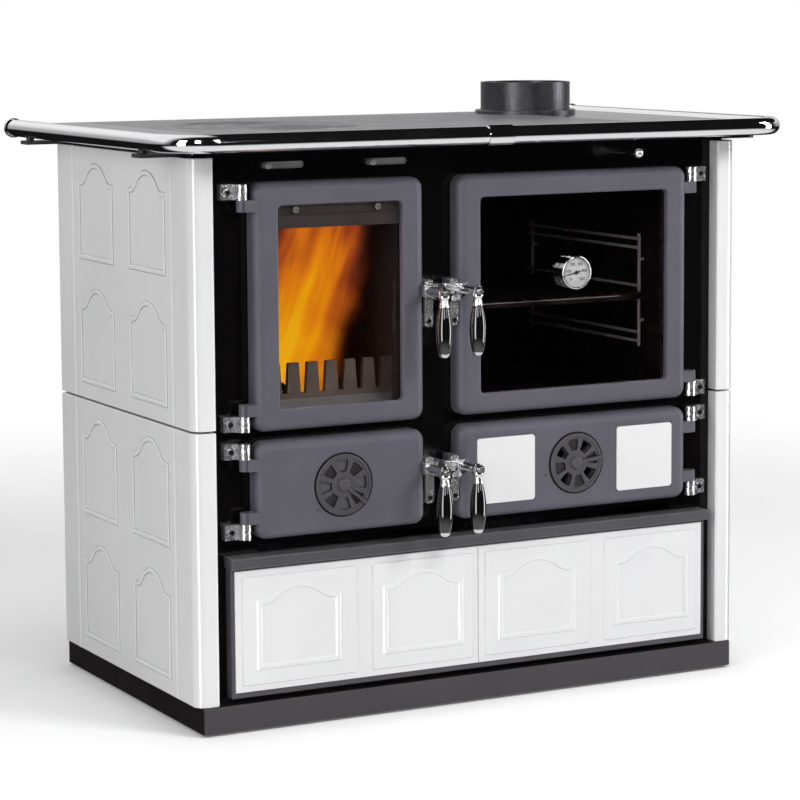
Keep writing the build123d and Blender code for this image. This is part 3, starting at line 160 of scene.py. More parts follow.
class IronSettings(bpy.types.PropertyGroup):
    """Painted castings and sheets of the front."""

    door: colour_setting("Doors", "Matt stove paint of the cast doors", (0.092, 0.088, 0.111))
    register: colour_setting("Registers", "Stove paint of the two air registers", (0.062, 0.059, 0.069))
    front: colour_setting("Front", "Gloss black of the front plate", (0.0035, 0.003, 0.0032))
    plinth: colour_setting("Plinth", "Satin grey paint of the plinth", (0.060, 0.056, 0.063))
    sill: colour_setting("Sill", "Painted sill above the drawer", (0.078, 0.076, 0.083))
    skin: length_setting("Skin", "Depth of the cast skin under the paint", 0.0003)


class HobSettings(bpy.types.PropertyGroup):
    """Ground cast hob, its flue collar and the rings cast into it."""

    colour: colour_setting("Ground iron", "Colour of the ground hob plate", (0.27, 0.265, 0.28))
    flue: colour_setting("Flue collar", "Blackened iron of the flue collar", (0.075, 0.075, 0.086))
    lines: length_setting("Grinding lines", "Depth of the grinding lines", 0.00006)
    bead_radius: length_setting("Bead", "Half width of one cast ring", 0.0011)
    ring_pitch: length_setting("Pitch", "Distance between two cast rings", 0.007)
    plate_rings: count_setting("Rings on the plate", "Cast rings round the seat", 4)
    disc_rings: count_setting("Rings on the disc", "Cast rings on the disc", 5)


class BrightSettings(bpy.types.PropertyGroup):
    """Chrome, steel and glossy plastic fittings."""

    chrome: colour_setting("Chrome", "Chrome of the rail, hinges and levers", (0.80, 0.80, 0.815))
    steel: colour_setting("Steel", "Plain sheet steel", (0.42, 0.41, 0.41))
    grip: colour_setting("Grips", "Glossy black of the four grips", (0.004, 0.004, 0.004))
    head_radius: length_setting("Screw head", "Radius of a screw head", 0.0042)
    head_height: length_setting("Head height", "Height of a screw head", 0.0022)
    recess: number_setting(
        "Recess", "Width of the recess as a share of the head", 0.5, min=0.1, max=0.9, subtype="FACTOR"
    )


class FireSettings(bpy.types.PropertyGroup):
    """Flames, embers and logs behind the glass."""

    core: colour_setting("Core", "Hottest colour, low in the flames", (0.92, 0.43, 0.008))
    hot: colour_setting("Hot", "Colour along the flames' ridge", (0.86, 0.31, 0.004))
    body: colour_setting("Body", "Colour of the flames half way out", (0.70, 0.17, 0.008))
    rim: colour_setting("Rim", "Colour of the flames' rims", (0.34, 0.052, 0.011))
    smoke: colour_setting("Smoke", "Colour where the flames end", (0.05, 0.016, 0.010))
    ember: colour_setting("Ember", "Glow of the embers", (0.9, 0.13, 0.01))
    embers: number_setting("Embers", "Embers on each square metre of the grate", 5200.0, min=0.0)
    lean: number_setting("Lean", "How far the flames lean to the right", math.radians(19), **ANGLE)
    seed: count_setting("Seed", "Start of the random order", 7)


class DialSettings(bpy.types.PropertyGroup):
    """Printing and needle of the oven thermometer."""

    ticks: count_setting("Ticks", "Marks on the scale", 26, least=2)
    tick_length: length_setting("Tick", "Length of one mark", 0.0030)
    numeral: length_setting("Numeral", "Height of a numeral", 0.0066)
    sweep: number_setting("Sweep", "Angle of the whole scale", math.radians(270), **ANGLE)
    needle: number_setting("Needle", "Needle's place on the scale", 0.12, min=0.0, max=1.0, subtype="FACTOR")


class StageSettings(bpy.types.PropertyGroup):
    """Floor, lamps and camera."""

    floor: colour_setting("Floor", "Colour of the floor", (0.90, 0.90, 0.90))
    key_power: number_setting("Key", "Power of the front lamp", 66.0, subtype="POWER")
    top_power: number_setting("Top", "Power of the lamp overhead", 30.0, subtype="POWER")
    side_power: number_setting("Side", "Power of the lamp on the left", 27.0, subtype="POWER")
    ambient: number_setting("Ambient", "Strength of the room's light", 0.45, min=0.0)
    box_light: number_setting("Boxes", "Brightness of the soft boxes in mirrors", 7.0, min=0.0)
    place: FloatVectorProperty(
        name="Camera", description="Place of the camera", default=(-2.0384, -3.8831, 1.0383), subtype="TRANSLATION",
        unit="LENGTH", size=3,
    )
    yaw: number_setting("Yaw", "Turn to the right", 0.484239, **ANGLE)
    pitch: number_setting("Pitch", "Tilt upwards", -0.111976, **ANGLE)
    roll: number_setting("Roll", "Turn about the view", -0.006257, **ANGLE)
    lens: number_setting("Lens", "Focal length in millimetres", 128.7, unit="CAMERA")
    shift: number_setting("Shift", "Upward shift of the frame", -0.10)


SETTING_GROUPS = {
    "cooker_enamel": EnamelSettings,
    "cooker_iron": IronSettings,
    "cooker_hob": HobSettings,
    "cooker_bright": BrightSettings,
    "cooker_fire": FireSettings,
    "cooker_dial": DialSettings,
    "cooker_stage": StageSettings,
}


# ---------------------------------------------------------------- nodes
def add(tree, kind, inputs=None, **settings):
    """A node with its settings. An input is set to a value, or joined to a socket."""
    made = tree.nodes.new(kind)
    for name, value in settings.items():
        setattr(made, name, value)
    for name, value in (inputs or {}).items():
        if isinstance(value, bpy.types.NodeSocket):
            tree.links.new(value, made.inputs[name])
        else:
            made.inputs[name].default_value = value
    return made


def maths(tree, operation, *values, **settings):
    """The result of one sum."""
    return add(tree, "ShaderNodeMath", dict(enumerate(values)), operation=operation, **settings).outputs[0]


def join(tree, operation, first, *others):
    """The same sum over any number of values, one after the other."""
    for value in others:
        first = maths(tree, operation, first, value)
    return first


def span(tree, value, start, end, low=0.0, high=1.0, smooth=False):
    """Takes a value from one range to another, and stops at its ends."""
    return add(
        tree, "ShaderNodeMapRange",
        {"Value": value, "From Min": start, "From Max": end, "To Min": low, "To Max": high},
        interpolation_type="SMOOTHSTEP" if smooth else "LINEAR",
    ).outputs["Result"]


def mixed(tree, share, first, second):
    """One colour that gives way to another as the share goes from 0 to 1."""
    return add(tree, "ShaderNodeMix", {0: share, 6: first, 7: second}, data_type="RGBA").outputs[2]


def noise(tree, where, scale, detail, roughness=0.5, distortion=0.0):
    return add(
        tree, "ShaderNodeTexNoise",
        {"Vector": where, "Scale": scale, "Detail": detail, "Roughness": roughness, "Distortion": distortion},
    ).outputs["Fac"]


def position(tree):
    return add(tree, "ShaderNodeTexCoord").outputs["Object"]


def split(tree, vector):
    return add(tree, "ShaderNodeSeparateXYZ", {"Vector": vector}).outputs


def stretched(tree, vector, scale, turn=(0, 0, 0)):
    """Coordinates scaled along each axis, and turned."""
    return add(tree, "ShaderNodeMapping", {"Vector": vector, "Scale": scale, "Rotation": turn}).outputs["Vector"]


def shaded(colour, share):
    """A colour at a share of its brightness."""
    return tuple(c * share for c in colour)


def solid(colour):
    return (*colour, 1.0)


def spaced(named):
    """Values by the names of their inputs, which have _ for a space in a call."""
    return {name.replace("_", " "): value for name, value in named.items()}


def wire(tree, shader, **sockets):
    """Joins each named input of a shader to what feeds it."""
    for name, socket in spaced(sockets).items():
        tree.links.new(socket, shader.inputs[name])


GROUPS = {}


def value_group(output, *inputs):
    """Lists a function as the shader node group of its name, with one value as its output."""

    def listed(build):
        GROUPS[build.__name__] = (build, "ShaderNodeTree", inputs, (output, FLOAT))
        return build

    return listed


def colour_group(second, *inputs):
    """Lists a function as the shader node group of its name. It says where a colour gives way to a second one."""

    def listed(mask):
        def build(tree, given):
            return mixed(tree, mask(tree, given), given["Colour"], given[second])

        whole = [("Colour", COLOUR, None), (second, COLOUR, None), *inputs]
        GROUPS[mask.__name__] = (build, "ShaderNodeTree", whole, ("Colour", COLOUR))
        return mask

    return listed


def geometry_group(*inputs):
    """Lists a function as the geometry node group of its name, with these inputs and one for the finish."""

    def listed(build):
        whole = [("Geometry", "NodeSocketGeometry", None), *inputs, ("Finish", "NodeSocketMaterial", None)]
        GROUPS[build.__name__] = (build, "GeometryNodeTree", whole, ("Geometry", "NodeSocketGeometry"))
        return build

    return listed


def group_named(name):
    """A node group, built the first time that it is asked for."""
    if name in bpy.data.node_groups:
        return bpy.data.node_groups[name]
    build, kind, inputs, (out_label, out_type) = GROUPS[name]
    tree = bpy.data.node_groups.new(name, kind)
    for label, socket_type, default in inputs:
        socket = tree.interface.new_socket(label, in_out="INPUT", socket_type=socket_type)
        if default is not None:
            socket.default_value = default
    tree.interface.new_socket(out_label, in_out="OUTPUT", socket_type=out_type)
    given = tree.nodes.new("NodeGroupInput").outputs
    out = tree.nodes.new("NodeGroupOutput").inputs[out_label]
    result = build(tree, given)
    if kind == "GeometryNodeTree":
        real = add(tree, "GeometryNodeRealizeInstances", {"Geometry": result})
        result = add(
            tree, "GeometryNodeSetMaterial", {"Geometry": real.outputs["Geometry"], "Material": given["Finish"]}
        ).outputs["Geometry"]
    tree.links.new(result, out)
    return tree


def effect(tree, name, **inputs):
    """Places a shared effect in a material."""
    return add(tree, "ShaderNodeGroup", spaced(inputs), node_tree=group_named(name)).outputs[0]


# ---------------------------------------------------------------- shared effects
@value_group("Height", ("Scale", FLOAT, 400.0), ("Stretch", VECTOR, UNIT), ("Roughness", FLOAT, 0.6))
def fine_grain(tree, given):
    """Fine relief: noise at one scale, stretched into lines where the stretch differs by axis."""
    return noise(tree, stretched(tree, position(tree), given["Stretch"]), given["Scale"], 3.0, given["Roughness"])


@colour_group("Second Colour", ("Scale", FLOAT, 8.0), ("Stretch", VECTOR, UNIT))
def tone_drift(tree, given):
    """Two close tones of one colour that drift into each other."""
    drift = noise(tree, stretched(tree, position(tree), given["Stretch"]), given["Scale"], 4.0, 0.55)
    return span(tree, drift, 0.32, 0.68)


@value_group("Roughness", ("Low", FLOAT, 0.1), ("High", FLOAT, 0.2), ("Scale", FLOAT, 20.0), ("Stretch", VECTOR, UNIT))
def gloss_drift(tree, given):
    """Roughness that wanders between two values, as polish and handling leave it."""
    drift = noise(tree, stretched(tree, position(tree), given["Stretch"]), given["Scale"], 5.0, 0.65)
    return span(tree, drift, 0.3, 0.7, given["Low"], given["High"])


@colour_group("Ash Colour", ("Amount", FLOAT, 0.1))
def settled_ash(tree, given):
    """Light ash that settles on faces that look up."""
    place = add(tree, "ShaderNodeTexCoord").outputs
    upward = span(tree, split(tree, place["Normal"])["Z"], 0.5, 1.0)
    spots = span(tree, noise(tree, place["Object"], 34.0, 5.0, 0.7), 0.35, 0.75)
    return join(tree, "MULTIPLY", upward, spots, given["Amount"])


@colour_group("Soot Colour", ("Low", FLOAT, 0.45), ("High", FLOAT, 0.75), ("Most", FLOAT, 0.9))
def soot_stain(tree, given):
    """Soot that thickens between two heights."""
    place = position(tree)
    lift = maths(tree, "MULTIPLY_ADD", noise(tree, place, 16.0, 6.0), 0.16, split(tree, place)["Z"])
    return span(tree, lift, given["Low"], given["High"], 0.0, given["Most"])


@colour_group("Fleck Colour", ("Scale", FLOAT, 260.0), ("Size", FLOAT, 0.22))
def enamel_flecks(tree, given):
    """Small flecks scattered over a ground colour."""
    cells = add(tree, "ShaderNodeTexVoronoi", {"Vector": position(tree), "Scale": given["Scale"]})
    return maths(tree, "LESS_THAN", cells.outputs["Distance"], given["Size"])


@value_group("Roughness", ("Scale", FLOAT, 30.0), ("Strength", FLOAT, 0.05), ("Roughness", FLOAT, 0.1))
def wiping_lines(tree, given):
    """Faint slanting hairlines, as wiping leaves them on hard gloss."""
    slanting = stretched(tree, position(tree), (1.0, 14.0, 14.0), (0.5, 0.4, 0.3))
    marks = span(tree, noise(tree, slanting, given["Scale"], 4.0, 0.7), 0.55, 0.75)
    return maths(tree, "MULTIPLY_ADD", marks, given["Strength"], given["Roughness"], use_clamp=True)


@colour_group("Rear Colour", ("Depth", FLOAT, -0.25))
def set_back(tree, given):
    """Another colour on what lies further back than one depth. Used for painted shade on the plinth's sides and in the
    registers' wells.
    """
    return maths(tree, "GREATER_THAN", split(tree, position(tree))["Y"], given["Depth"])


@colour_group(
    "Line Colour", ("Axis", VECTOR, (1, 0, 0)), ("Ground", FLOAT, 0.45), ("Relief", FLOAT, 0.002),
    ("Steps", FLOAT, 1.0),
)
def glaze_line(tree, given):
    """Painted shade at the foot of raised lines, whose height is measured along one axis: a thin darker band where
    each step of relief rises from its ground.
    """
    reach = add(tree, "ShaderNodeVectorMath", {0: position(tree), 1: given["Axis"]}, operation="DOT_PRODUCT")
    outward = maths(tree, "ABSOLUTE", reach.outputs["Value"])
    level = maths(tree, "DIVIDE", maths(tree, "SUBTRACT", outward, given["Ground"]), given["Relief"])
    foot = maths(tree, "COMPARE", maths(tree, "FRACT", level), 0.33, 0.29)
    over = maths(tree, "GREATER_THAN", level, 0.0)
    under = maths(tree, "LESS_THAN", level, given["Steps"])
    return maths(tree, "MULTIPLY", foot, maths(tree, "MULTIPLY", over, under))


# ---------------------------------------------------------------- finishes
def start_material(title, **constants):
    """A material with a Principled shader, and the constants on the shader's own sockets."""
    material = bpy.data.materials.new(title)
    material.use_nodes = True
    shader = material.node_tree.nodes["Principled BSDF"]
    for name, value in spaced(constants).items():
        shader.inputs[name].default_value = value
    return material, material.node_tree, shader


def tones(tree, colour, second, scale, stretch=UNIT):
    return effect(tree, "tone_drift", Colour=solid(colour), Second_Colour=solid(second), Scale=scale, Stretch=stretch)


def gloss(tree, low, high, scale, stretch=UNIT):
    return effect(tree, "gloss_drift", Low=low, High=high, Scale=scale, Stretch=stretch)


def grain(tree, scale, stretch=UNIT, roughness=0.6):
    return effect(tree, "fine_grain", Scale=scale, Stretch=stretch, Roughness=roughness)


def soot(tree, colour, soot_colour, low, high, most=0.9):
    return effect(tree, "soot_stain", Colour=colour, Soot_Colour=solid(soot_colour), Low=low, High=high, Most=most)


def feed(tree, shader, colour, rough, height, depth):
    """Gives a shader its colour, its roughness and a bump of that depth in metres."""
    bump = add(tree, "ShaderNodeBump", {"Height": height, "Distance": depth, "Strength": 1.0})
    wire(tree, shader, Base_Color=colour, Roughness=rough, Normal=bump.outputs["Normal"])


def paint(
    name, colour, gloss_range, scale_and_depth, second=None, drift=6.0, gloss_scale=24.0, stretch=UNIT,
    grain_stretch=UNIT, ash=0.0, wiped=0.0, behind=None, pooled=None, **constants,
):
    """A finish of one colour in two close tones, with wandering gloss, fine relief and a little settled ash.

    After the colour come the lowest and highest roughness, and the relief's scale and its depth in metres. Behind is
    a depth and the colour further back than that, which paints shade on what lies set back. Shade at foot is the share
    of the colour that is left in the painted shade at the foot of raised lines, and the inputs of those lines.
    """
    material, tree, shader = start_material(name, **constants)
    tone = tones(tree, colour, second or shaded(colour, 0.86), drift, stretch)
    if pooled:
        share, lines = pooled
        tone = effect(tree, "glaze_line", Colour=tone, Line_Colour=solid(shaded(colour, share)), **lines)
    if behind:
        depth, rear_colour = behind
        tone = effect(tree, "set_back", Colour=tone, Rear_Colour=solid(rear_colour), Depth=depth)
    if ash:
        tone = effect(tree, "settled_ash", Colour=tone, Ash_Colour=(0.36, 0.34, 0.33, 1), Amount=ash)
    rough = gloss(tree, *gloss_range, gloss_scale, stretch)
    if wiped:
        rough = effect(tree, "wiping_lines", Roughness=rough, Strength=wiped)
    feed(tree, shader, tone, rough, grain(tree, scale_and_depth[0], grain_stretch), scale_and_depth[1])
    return material


def flecked_enamel(name, settings):
    """Dark granite enamel with pale flecks."""
    material, tree, shader = start_material(name, Metallic=0.0, Specular_IOR_Level=0.25)
    ground = tones(tree, settings.inner, shaded(settings.inner, 1.6), 9.0)
    flecks = effect(
        tree, "enamel_flecks", Colour=ground, Fleck_Colour=solid(settings.speck), Scale=420.0, Size=0.16
    )
    feed(tree, shader, flecks, gloss(tree, 0.22, 0.38, 30.0), grain(tree, 240.0), 0.0001)
    return material


def brick_lining(name):
    """Fire bricks with mortar joints, sooted towards the top."""
    material, tree, shader = start_material(name, Metallic=0.0, Specular_IOR_Level=0.2)
    axes = split(tree, position(tree))
    wall = add(tree, "ShaderNodeCombineXYZ", {"X": maths(tree, "ADD", axes["X"], axes["Y"]), "Y": axes["Z"]})
    bricks = add(
        tree, "ShaderNodeTexBrick",
        {"Vector": wall.outputs["Vector"], "Color1": (0.034, 0.020, 0.015, 1), "Color2": (0.027, 0.016, 0.012, 1),
         "Mortar": (0.018, 0.012, 0.010, 1), "Scale": 1.0, "Mortar Size": 0.0012, "Brick Width": 0.115,
         "Row Height": 0.062},
    ).outputs
    stained = soot(tree, bricks["Color"], (0.012, 0.009, 0.008), 0.50, 0.80)
    joints = maths(tree, "MULTIPLY_ADD", bricks["Fac"], -1.0, grain(tree, 260.0, roughness=0.75))
    feed(tree, shader, stained, gloss(tree, 0.75, 0.95, 40.0), joints, 0.0005)
    return material


def braided_rope(name):
    """Woven glass-fibre rope, in two families of slanted strands."""
    material, tree, shader = start_material(name, Metallic=0.0, Specular_IOR_Level=0.25)
    axes = split(tree, position(tree))
    strand = 3.5 * MM
    families = []
    for operation in ("ADD", "SUBTRACT"):
        slant = maths(tree, operation, axes["X"], axes["Z"])
        wave = maths(tree, "SINE", maths(tree, "MULTIPLY", slant, math.tau / strand))
        families.append(maths(tree, "ABSOLUTE", wave))
    woven = maths(tree, "MAXIMUM", *families)
    tone = mixed(tree, woven, (0.010, 0.010, 0.010, 1), (0.055, 0.053, 0.052, 1))
    feed(tree, shader, tone, gloss(tree, 0.7, 0.95, 200.0), woven, 0.0006)
    return material


def sooted_metal(name, colour, metallic, gloss_range, soot_range, scale_and_depth, grain_stretch=UNIT, ahead=None):
    """Bare metal beside the fire: dull, with soot that thickens between two heights.

    Ahead is a depth and the colour further forward than that. The rest is as for paint.
    """
    material, tree, shader = start_material(name, Metallic=metallic)
    tone = tones(tree, colour, shaded(colour, 0.7), 30.0, grain_stretch)
    if ahead:
        depth, front_colour = ahead
        tone = effect(tree, "set_back", Colour=solid(front_colour), Rear_Colour=tone, Depth=depth)
    stained = soot(tree, tone, (0.02, 0.016, 0.014), *soot_range, 0.7)
    scale, depth = scale_and_depth
    feed(tree, shader, stained, gloss(tree, *gloss_range, 50.0), grain(tree, scale, grain_stretch), depth)
    return material


def zinc_plate(name):
    """Galvanised sheet with its crystal spangle."""
    material, tree, shader = start_material(name, Metallic=1.0)
    cells = add(tree, "ShaderNodeTexVoronoi", {"Vector": position(tree), "Scale": 75.0})
    level = add(tree, "ShaderNodeSeparateColor", {"Color": cells.outputs["Color"]}).outputs
    tone = mixed(tree, level["Red"], (0.46, 0.47, 0.49, 1), (0.62, 0.63, 0.65, 1))
    rough = span(tree, level["Green"], 0.0, 1.0, 0.28, 0.48)
    feed(tree, shader, tone, rough, grain(tree, 90.0), 0.0002)
    return material


def glass(name, tint):
    """Clear heat-proof glass that lets the lamps through to what stands behind it."""
    material, tree, shader = start_material(name, Metallic=0.0, IOR=1.45, Transmission_Weight=1.0)
    haze = tones(tree, tint, shaded(tint, 0.93), 9.0)
    wire(tree, shader, Base_Color=haze, Roughness=gloss(tree, 0.0, 0.02, 14.0))
    clear = add(tree, "ShaderNodeBsdfTransparent", {"Color": solid(shaded(tint, 0.9))})
    path = add(tree, "ShaderNodeLightPath")
    mix = add(
        tree, "ShaderNodeMixShader",
        {0: path.outputs["Is Shadow Ray"], 1: shader.outputs["BSDF"], 2: clear.outputs["BSDF"]},
    )
    tree.links.new(mix.outputs["Shader"], tree.nodes["Material Output"].inputs["Surface"])
    return material


def charred_bark(name):
    """Bark with grain along the log, charred towards the top."""
    material, tree, shader = start_material(name, Metallic=0.0, Specular_IOR_Level=0.15)
    bark = tones(tree, (0.075, 0.045, 0.028), (0.022, 0.016, 0.013), 40.0, (2.0, 0.2, 2.0))
    burnt = soot(tree, bark, (0.008, 0.007, 0.007), 0.46, 0.56, 0.95)
    feed(tree, shader, burnt, gloss(tree, 0.75, 0.95, 60.0), grain(tree, 140.0, (2.0, 0.25, 2.0)), 0.003)
    return material


def glowing_ember(name, glow_colour):
    """Charcoal that glows in patches."""
    material, tree, shader = start_material(name, Metallic=0.0, Emission_Strength=1.0)
    heat = span(tree, noise(tree, position(tree), 90.0, 4.0), 0.42, 0.66)
    wire(tree, shader, Emission_Color=mixed(tree, heat, (0.02, 0.002, 0.0, 1), solid(glow_colour)))
    coal = tones(tree, (0.02, 0.016, 0.014), (0.12, 0.11, 0.105), 70.0)
    feed(tree, shader, coal, gloss(tree, 0.8, 0.95, 60.0), grain(tree, 400.0), 0.0006)
    return material


def flame_glow(name, fire):
    """Flames that are hottest along a leaning ridge and cool with height, in streaks, and thin out at their ends."""
    material, tree, shader = start_material(
        name, Base_Color=(0, 0, 0, 1), Metallic=0.0, Roughness=1.0, Specular_IOR_Level=0.0, Emission_Strength=1.0
    )
    place = position(tree)
    axes = split(tree, place)
    slope = math.tan(fire.lean)
    upright = maths(tree, "MULTIPLY_ADD", axes["Z"], -slope, axes["X"])
    sheared = add(tree, "ShaderNodeCombineXYZ", {"X": upright, "Y": axes["Y"], "Z": axes["Z"]}).outputs["Vector"]
    streaks = noise(tree, stretched(tree, sheared, (38.0, 60.0, 5.0)), 1.0, 4.0, 0.5, 0.3)
    swayed = maths(tree, "MULTIPLY_ADD", noise(tree, place, 13.0, 2.0), FLAME_SWAY, upright)
    ridge = FLAME_RIDGE_X - slope * FLAME_RIDGE_Z + FLAME_SWAY / 2
    aside = maths(tree, "SUBTRACT", swayed, ridge)

    # Heat: most on the ridge, less with height, and uneven in the streaks.
    flank = span(tree, maths(tree, "ABSOLUTE", aside), 0.0, FLAME_REACH, 1.06, 0.16)
    cooled = maths(tree, "SUBTRACT", flank, span(tree, axes["Z"], 0.55, 0.76, 0.0, 0.58))
    heat = maths(tree, "ADD", cooled, span(tree, streaks, 0.25, 0.75, -0.22, 0.22))
    ramp = add(tree, "ShaderNodeValToRGB", {"Fac": heat})
    stops = ramp.color_ramp.elements
    stops[0].position, stops[0].color = 0.05, solid(fire.smoke)
    stops[1].position, stops[1].color = 1.0, solid(fire.core)
    for place_on_ramp, colour in ((0.36, fire.rim), (0.58, fire.body), (0.82, fire.hot)):
        stops.new(place_on_ramp).color = solid(colour)

    # What is seen: less in the streaks' gaps, and nothing past the right rim, at the right wall and at the top.
    right_rim = span(tree, aside, 0.112, 0.036, smooth=True)
    thin = span(tree, streaks, 0.30, 0.60, 0.72)
    right_wall = span(tree, axes["X"], -0.134, -0.175, smooth=True)
    top = span(tree, axes["Z"], FLAME_TOP_Z, 0.735)
    alpha = maths(
        tree, "MULTIPLY", maths(tree, "MULTIPLY", right_rim, thin), maths(tree, "MULTIPLY", right_wall, top)
    )
    wire(tree, shader, Emission_Color=ramp.outputs["Color"], Alpha=alpha)
    return material


def dress(slot, material):
    """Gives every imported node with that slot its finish."""
    found = [s for o in frame["nodes"].values() for s in o.material_slots if s.material.name == slot]
    if not found:
        raise RuntimeError(f"no packed node has the slot {slot}")
    for place in found:
        place.material = material


def dress_nodes(material, *names):
    """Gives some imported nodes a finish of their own, whatever their slot."""
    for name in names:
        for place in frame["nodes"][name].material_slots:
            place.material = material


def coat(slot, name, *mix, **more):
    """Mixes a paint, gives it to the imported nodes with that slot, and returns it."""
    material = paint(name, *mix, **more)
    dress(slot, material)
    return material


# ---------------------------------------------------------------- geometry trees
def copies(tree, points, copy, **inputs):
    return add(
        tree, "GeometryNodeInstanceOnPoints", {"Points": points, "Instance": copy, **inputs}
    ).outputs["Instances"]


def turned_copies(tree, points, copy, **axes):
    """A copy on every point, turned to where the point faces."""
    facing = add(tree, "GeometryNodeInputNamedAttribute", {"Name": "facing"}, data_type="FLOAT_VECTOR")
    turn = add(tree, "FunctionNodeAlignRotationToVector", {"Vector": facing.outputs["Attribute"]}, **axes)
    return copies(tree, points, copy, Rotation=turn.outputs["Rotation"])


@geometry_group(
    ("Head Radius", FLOAT, 0.004), ("Head Height", FLOAT, 0.002), ("Recess", FLOAT, 0.5),
    ("Recess Depth", FLOAT, 0.001),
)
def screw_heads(tree, given):
    """A recessed screw head on every point, turned to where the point faces."""
    head = add(
        tree, "GeometryNodeMeshCylinder",
        {"Vertices": 18, "Radius": given["Head Radius"], "Depth": given["Head Height"]},
    ).outputs
    rim = add(
        tree, "GeometryNodeExtrudeMesh",
        {"Mesh": head["Mesh"], "Selection": head["Top"], "Offset Scale": 0.0, "Individual": False}, mode="FACES",
    ).outputs
    narrow = add(
        tree, "GeometryNodeScaleElements",
        {"Geometry": rim["Mesh"], "Selection": rim["Top"], "Scale": given["Recess"]}, domain="FACE",
    )
    sunk = add(
        tree, "GeometryNodeExtrudeMesh",
        {"Mesh": narrow.outputs["Geometry"], "Selection": rim["Top"],
         "Offset Scale": maths(tree, "MULTIPLY", given["Recess Depth"], -1.0), "Individual": False},
        mode="FACES",
    )
    lift = add(tree, "ShaderNodeCombineXYZ", {"Z": maths(tree, "MULTIPLY", given["Head Height"], 0.5)})
    seated = add(
        tree, "GeometryNodeTransform", {"Geometry": sunk.outputs["Mesh"], "Translation": lift.outputs["Vector"]}
    )
    return turned_copies(tree, given["Geometry"], seated.outputs["Geometry"], axis="Z")


@geometry_group(
    ("First Radius", FLOAT, 0.02), ("Pitch", FLOAT, 0.007), ("Count", WHOLE, 4), ("Bead", FLOAT, 0.0006),
    ("Centre", VECTOR, None),
)
def cast_rings(tree, given):
    """Round beads on one centre, each a pitch wider than the last."""
    points = add(tree, "GeometryNodePoints", {"Count": given["Count"], "Position": given["Centre"]}).outputs[0]
    number = add(tree, "GeometryNodeInputIndex").outputs["Index"]
    radius = maths(tree, "MULTIPLY_ADD", number, given["Pitch"], given["First Radius"])
    circle = add(tree, "GeometryNodeCurvePrimitiveCircle", {"Resolution": 96, "Radius": 1.0}, mode="RADIUS")
    rings = copies(tree, points, circle.outputs["Curve"], Scale=radius)
    real = add(tree, "GeometryNodeRealizeInstances", {"Geometry": rings})
    section = add(tree, "GeometryNodeCurvePrimitiveCircle", {"Resolution": 8, "Radius": given["Bead"]}, mode="RADIUS")
    return add(
        tree, "GeometryNodeCurveToMesh",
        {"Curve": real.outputs["Geometry"], "Profile Curve": section.outputs["Curve"]},
    ).outputs["Mesh"]


@geometry_group(("Size", VECTOR, (0.002, 0.0002, 0.0004)))
def printed_marks(tree, given):
    """A flat bar on every point, its length turned to where the point faces."""
    bar = add(tree, "GeometryNodeMeshCube", {"Size": given["Size"]})
    return turned_copies(tree, given["Geometry"], bar.outputs["Mesh"], axis="X", pivot_axis="Y")


@geometry_group(
    ("Density", FLOAT, 5000.0), ("Smallest", FLOAT, 0.4), ("Largest", FLOAT, 1.2), ("Lump Radius", FLOAT, 0.008),
    ("Seed", WHOLE, 0),
)
def ember_bed(tree, given):
    """Lumps of charcoal scattered over a bed, of several sizes and all ways round."""
    places = add(
        tree, "GeometryNodeDistributePointsOnFaces",
        {"Mesh": given["Geometry"], "Density": given["Density"], "Seed": given["Seed"]},
    )
    lump = add(tree, "GeometryNodeMeshIcoSphere", {"Radius": given["Lump Radius"], "Subdivisions": 2})
    rough = add(tree, "ShaderNodeTexNoise", {"Scale": 160.0, "Detail": 1.0}).outputs["Color"]
    dent = add(tree, "ShaderNodeVectorMath", {0: rough, 1: (-0.5, -0.5, -0.5)}, operation="ADD").outputs[0]
    push = add(tree, "ShaderNodeVectorMath", {0: dent, "Scale": 0.012}, operation="SCALE").outputs[0]
    jagged = add(tree, "GeometryNodeSetPosition", {"Geometry": lump.outputs["Mesh"], "Offset": push})
    turn = add(
        tree, "FunctionNodeRandomValue", {0: (0, 0, 0), 1: (math.tau, math.tau, math.tau), "Seed": given["Seed"]},
        data_type="FLOAT_VECTOR",
    ).outputs[0]
    size = add(
        tree, "FunctionNodeRandomValue", {2: given["Smallest"], 3: given["Largest"], "Seed": given["Seed"]},
        data_type="FLOAT",
    ).outputs[1]
    return copies(tree, places.outputs["Points"], jagged.outputs["Geometry"], Rotation=turn, Scale=size)


# ---------------------------------------------------------------- meshes
def link_new(name, data):
    made = bpy.data.objects.new(name, data)
    bpy.context.scene.collection.objects.link(made)
    return made


def put(name, mesh, body, material=None, smooth=True):
    """A finished piece at the origin that rides on a body and takes its finish from a slot."""
    piece = link_new(name, mesh)
    mesh.polygons.foreach_set("use_smooth", [smooth] * len(mesh.polygons))
    if material:
        mesh.materials.append(material)
    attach(piece, body)
    return piece


def grow(name, group, source, **inputs):
    """Runs a geometry tree on a mesh and returns the result as a plain mesh."""
    holder = link_new(name + "_source", source)
    modifier = holder.modifiers.new("grow", "NODES")
    modifier.node_group = group_named(group)
    named = spaced(inputs)
    for item in modifier.node_group.interface.items_tree:
        if item.item_type == "SOCKET" and item.in_out == "INPUT" and item.name in named:
            modifier[item.identifier] = named[item.name]
    graph = bpy.context.evaluated_depsgraph_get()
    mesh = bpy.data.meshes.new_from_object(
        holder.evaluated_get(graph), preserve_all_data_layers=True, depsgraph=graph
    )
    holder.modifiers.remove(modifier)
    bpy.data.objects.remove(holder)
    if not mesh.polygons:
        raise RuntimeError(f"{name} came out empty")
    return mesh


def mesh_of(name, points, faces=()):
    mesh = bpy.data.meshes.new(name)
    mesh.from_pydata([tuple(p) for p in points], [], faces)
    return mesh


def points_mesh(name, places):
    """Loose points, each with the direction that it faces."""
    mesh = mesh_of(name, [p for p, _ in places])
    facing = mesh.attributes.new("facing", "FLOAT_VECTOR", "POINT")
    facing.data.foreach_set("vector", [c for _, d in places for c in d])
    return mesh


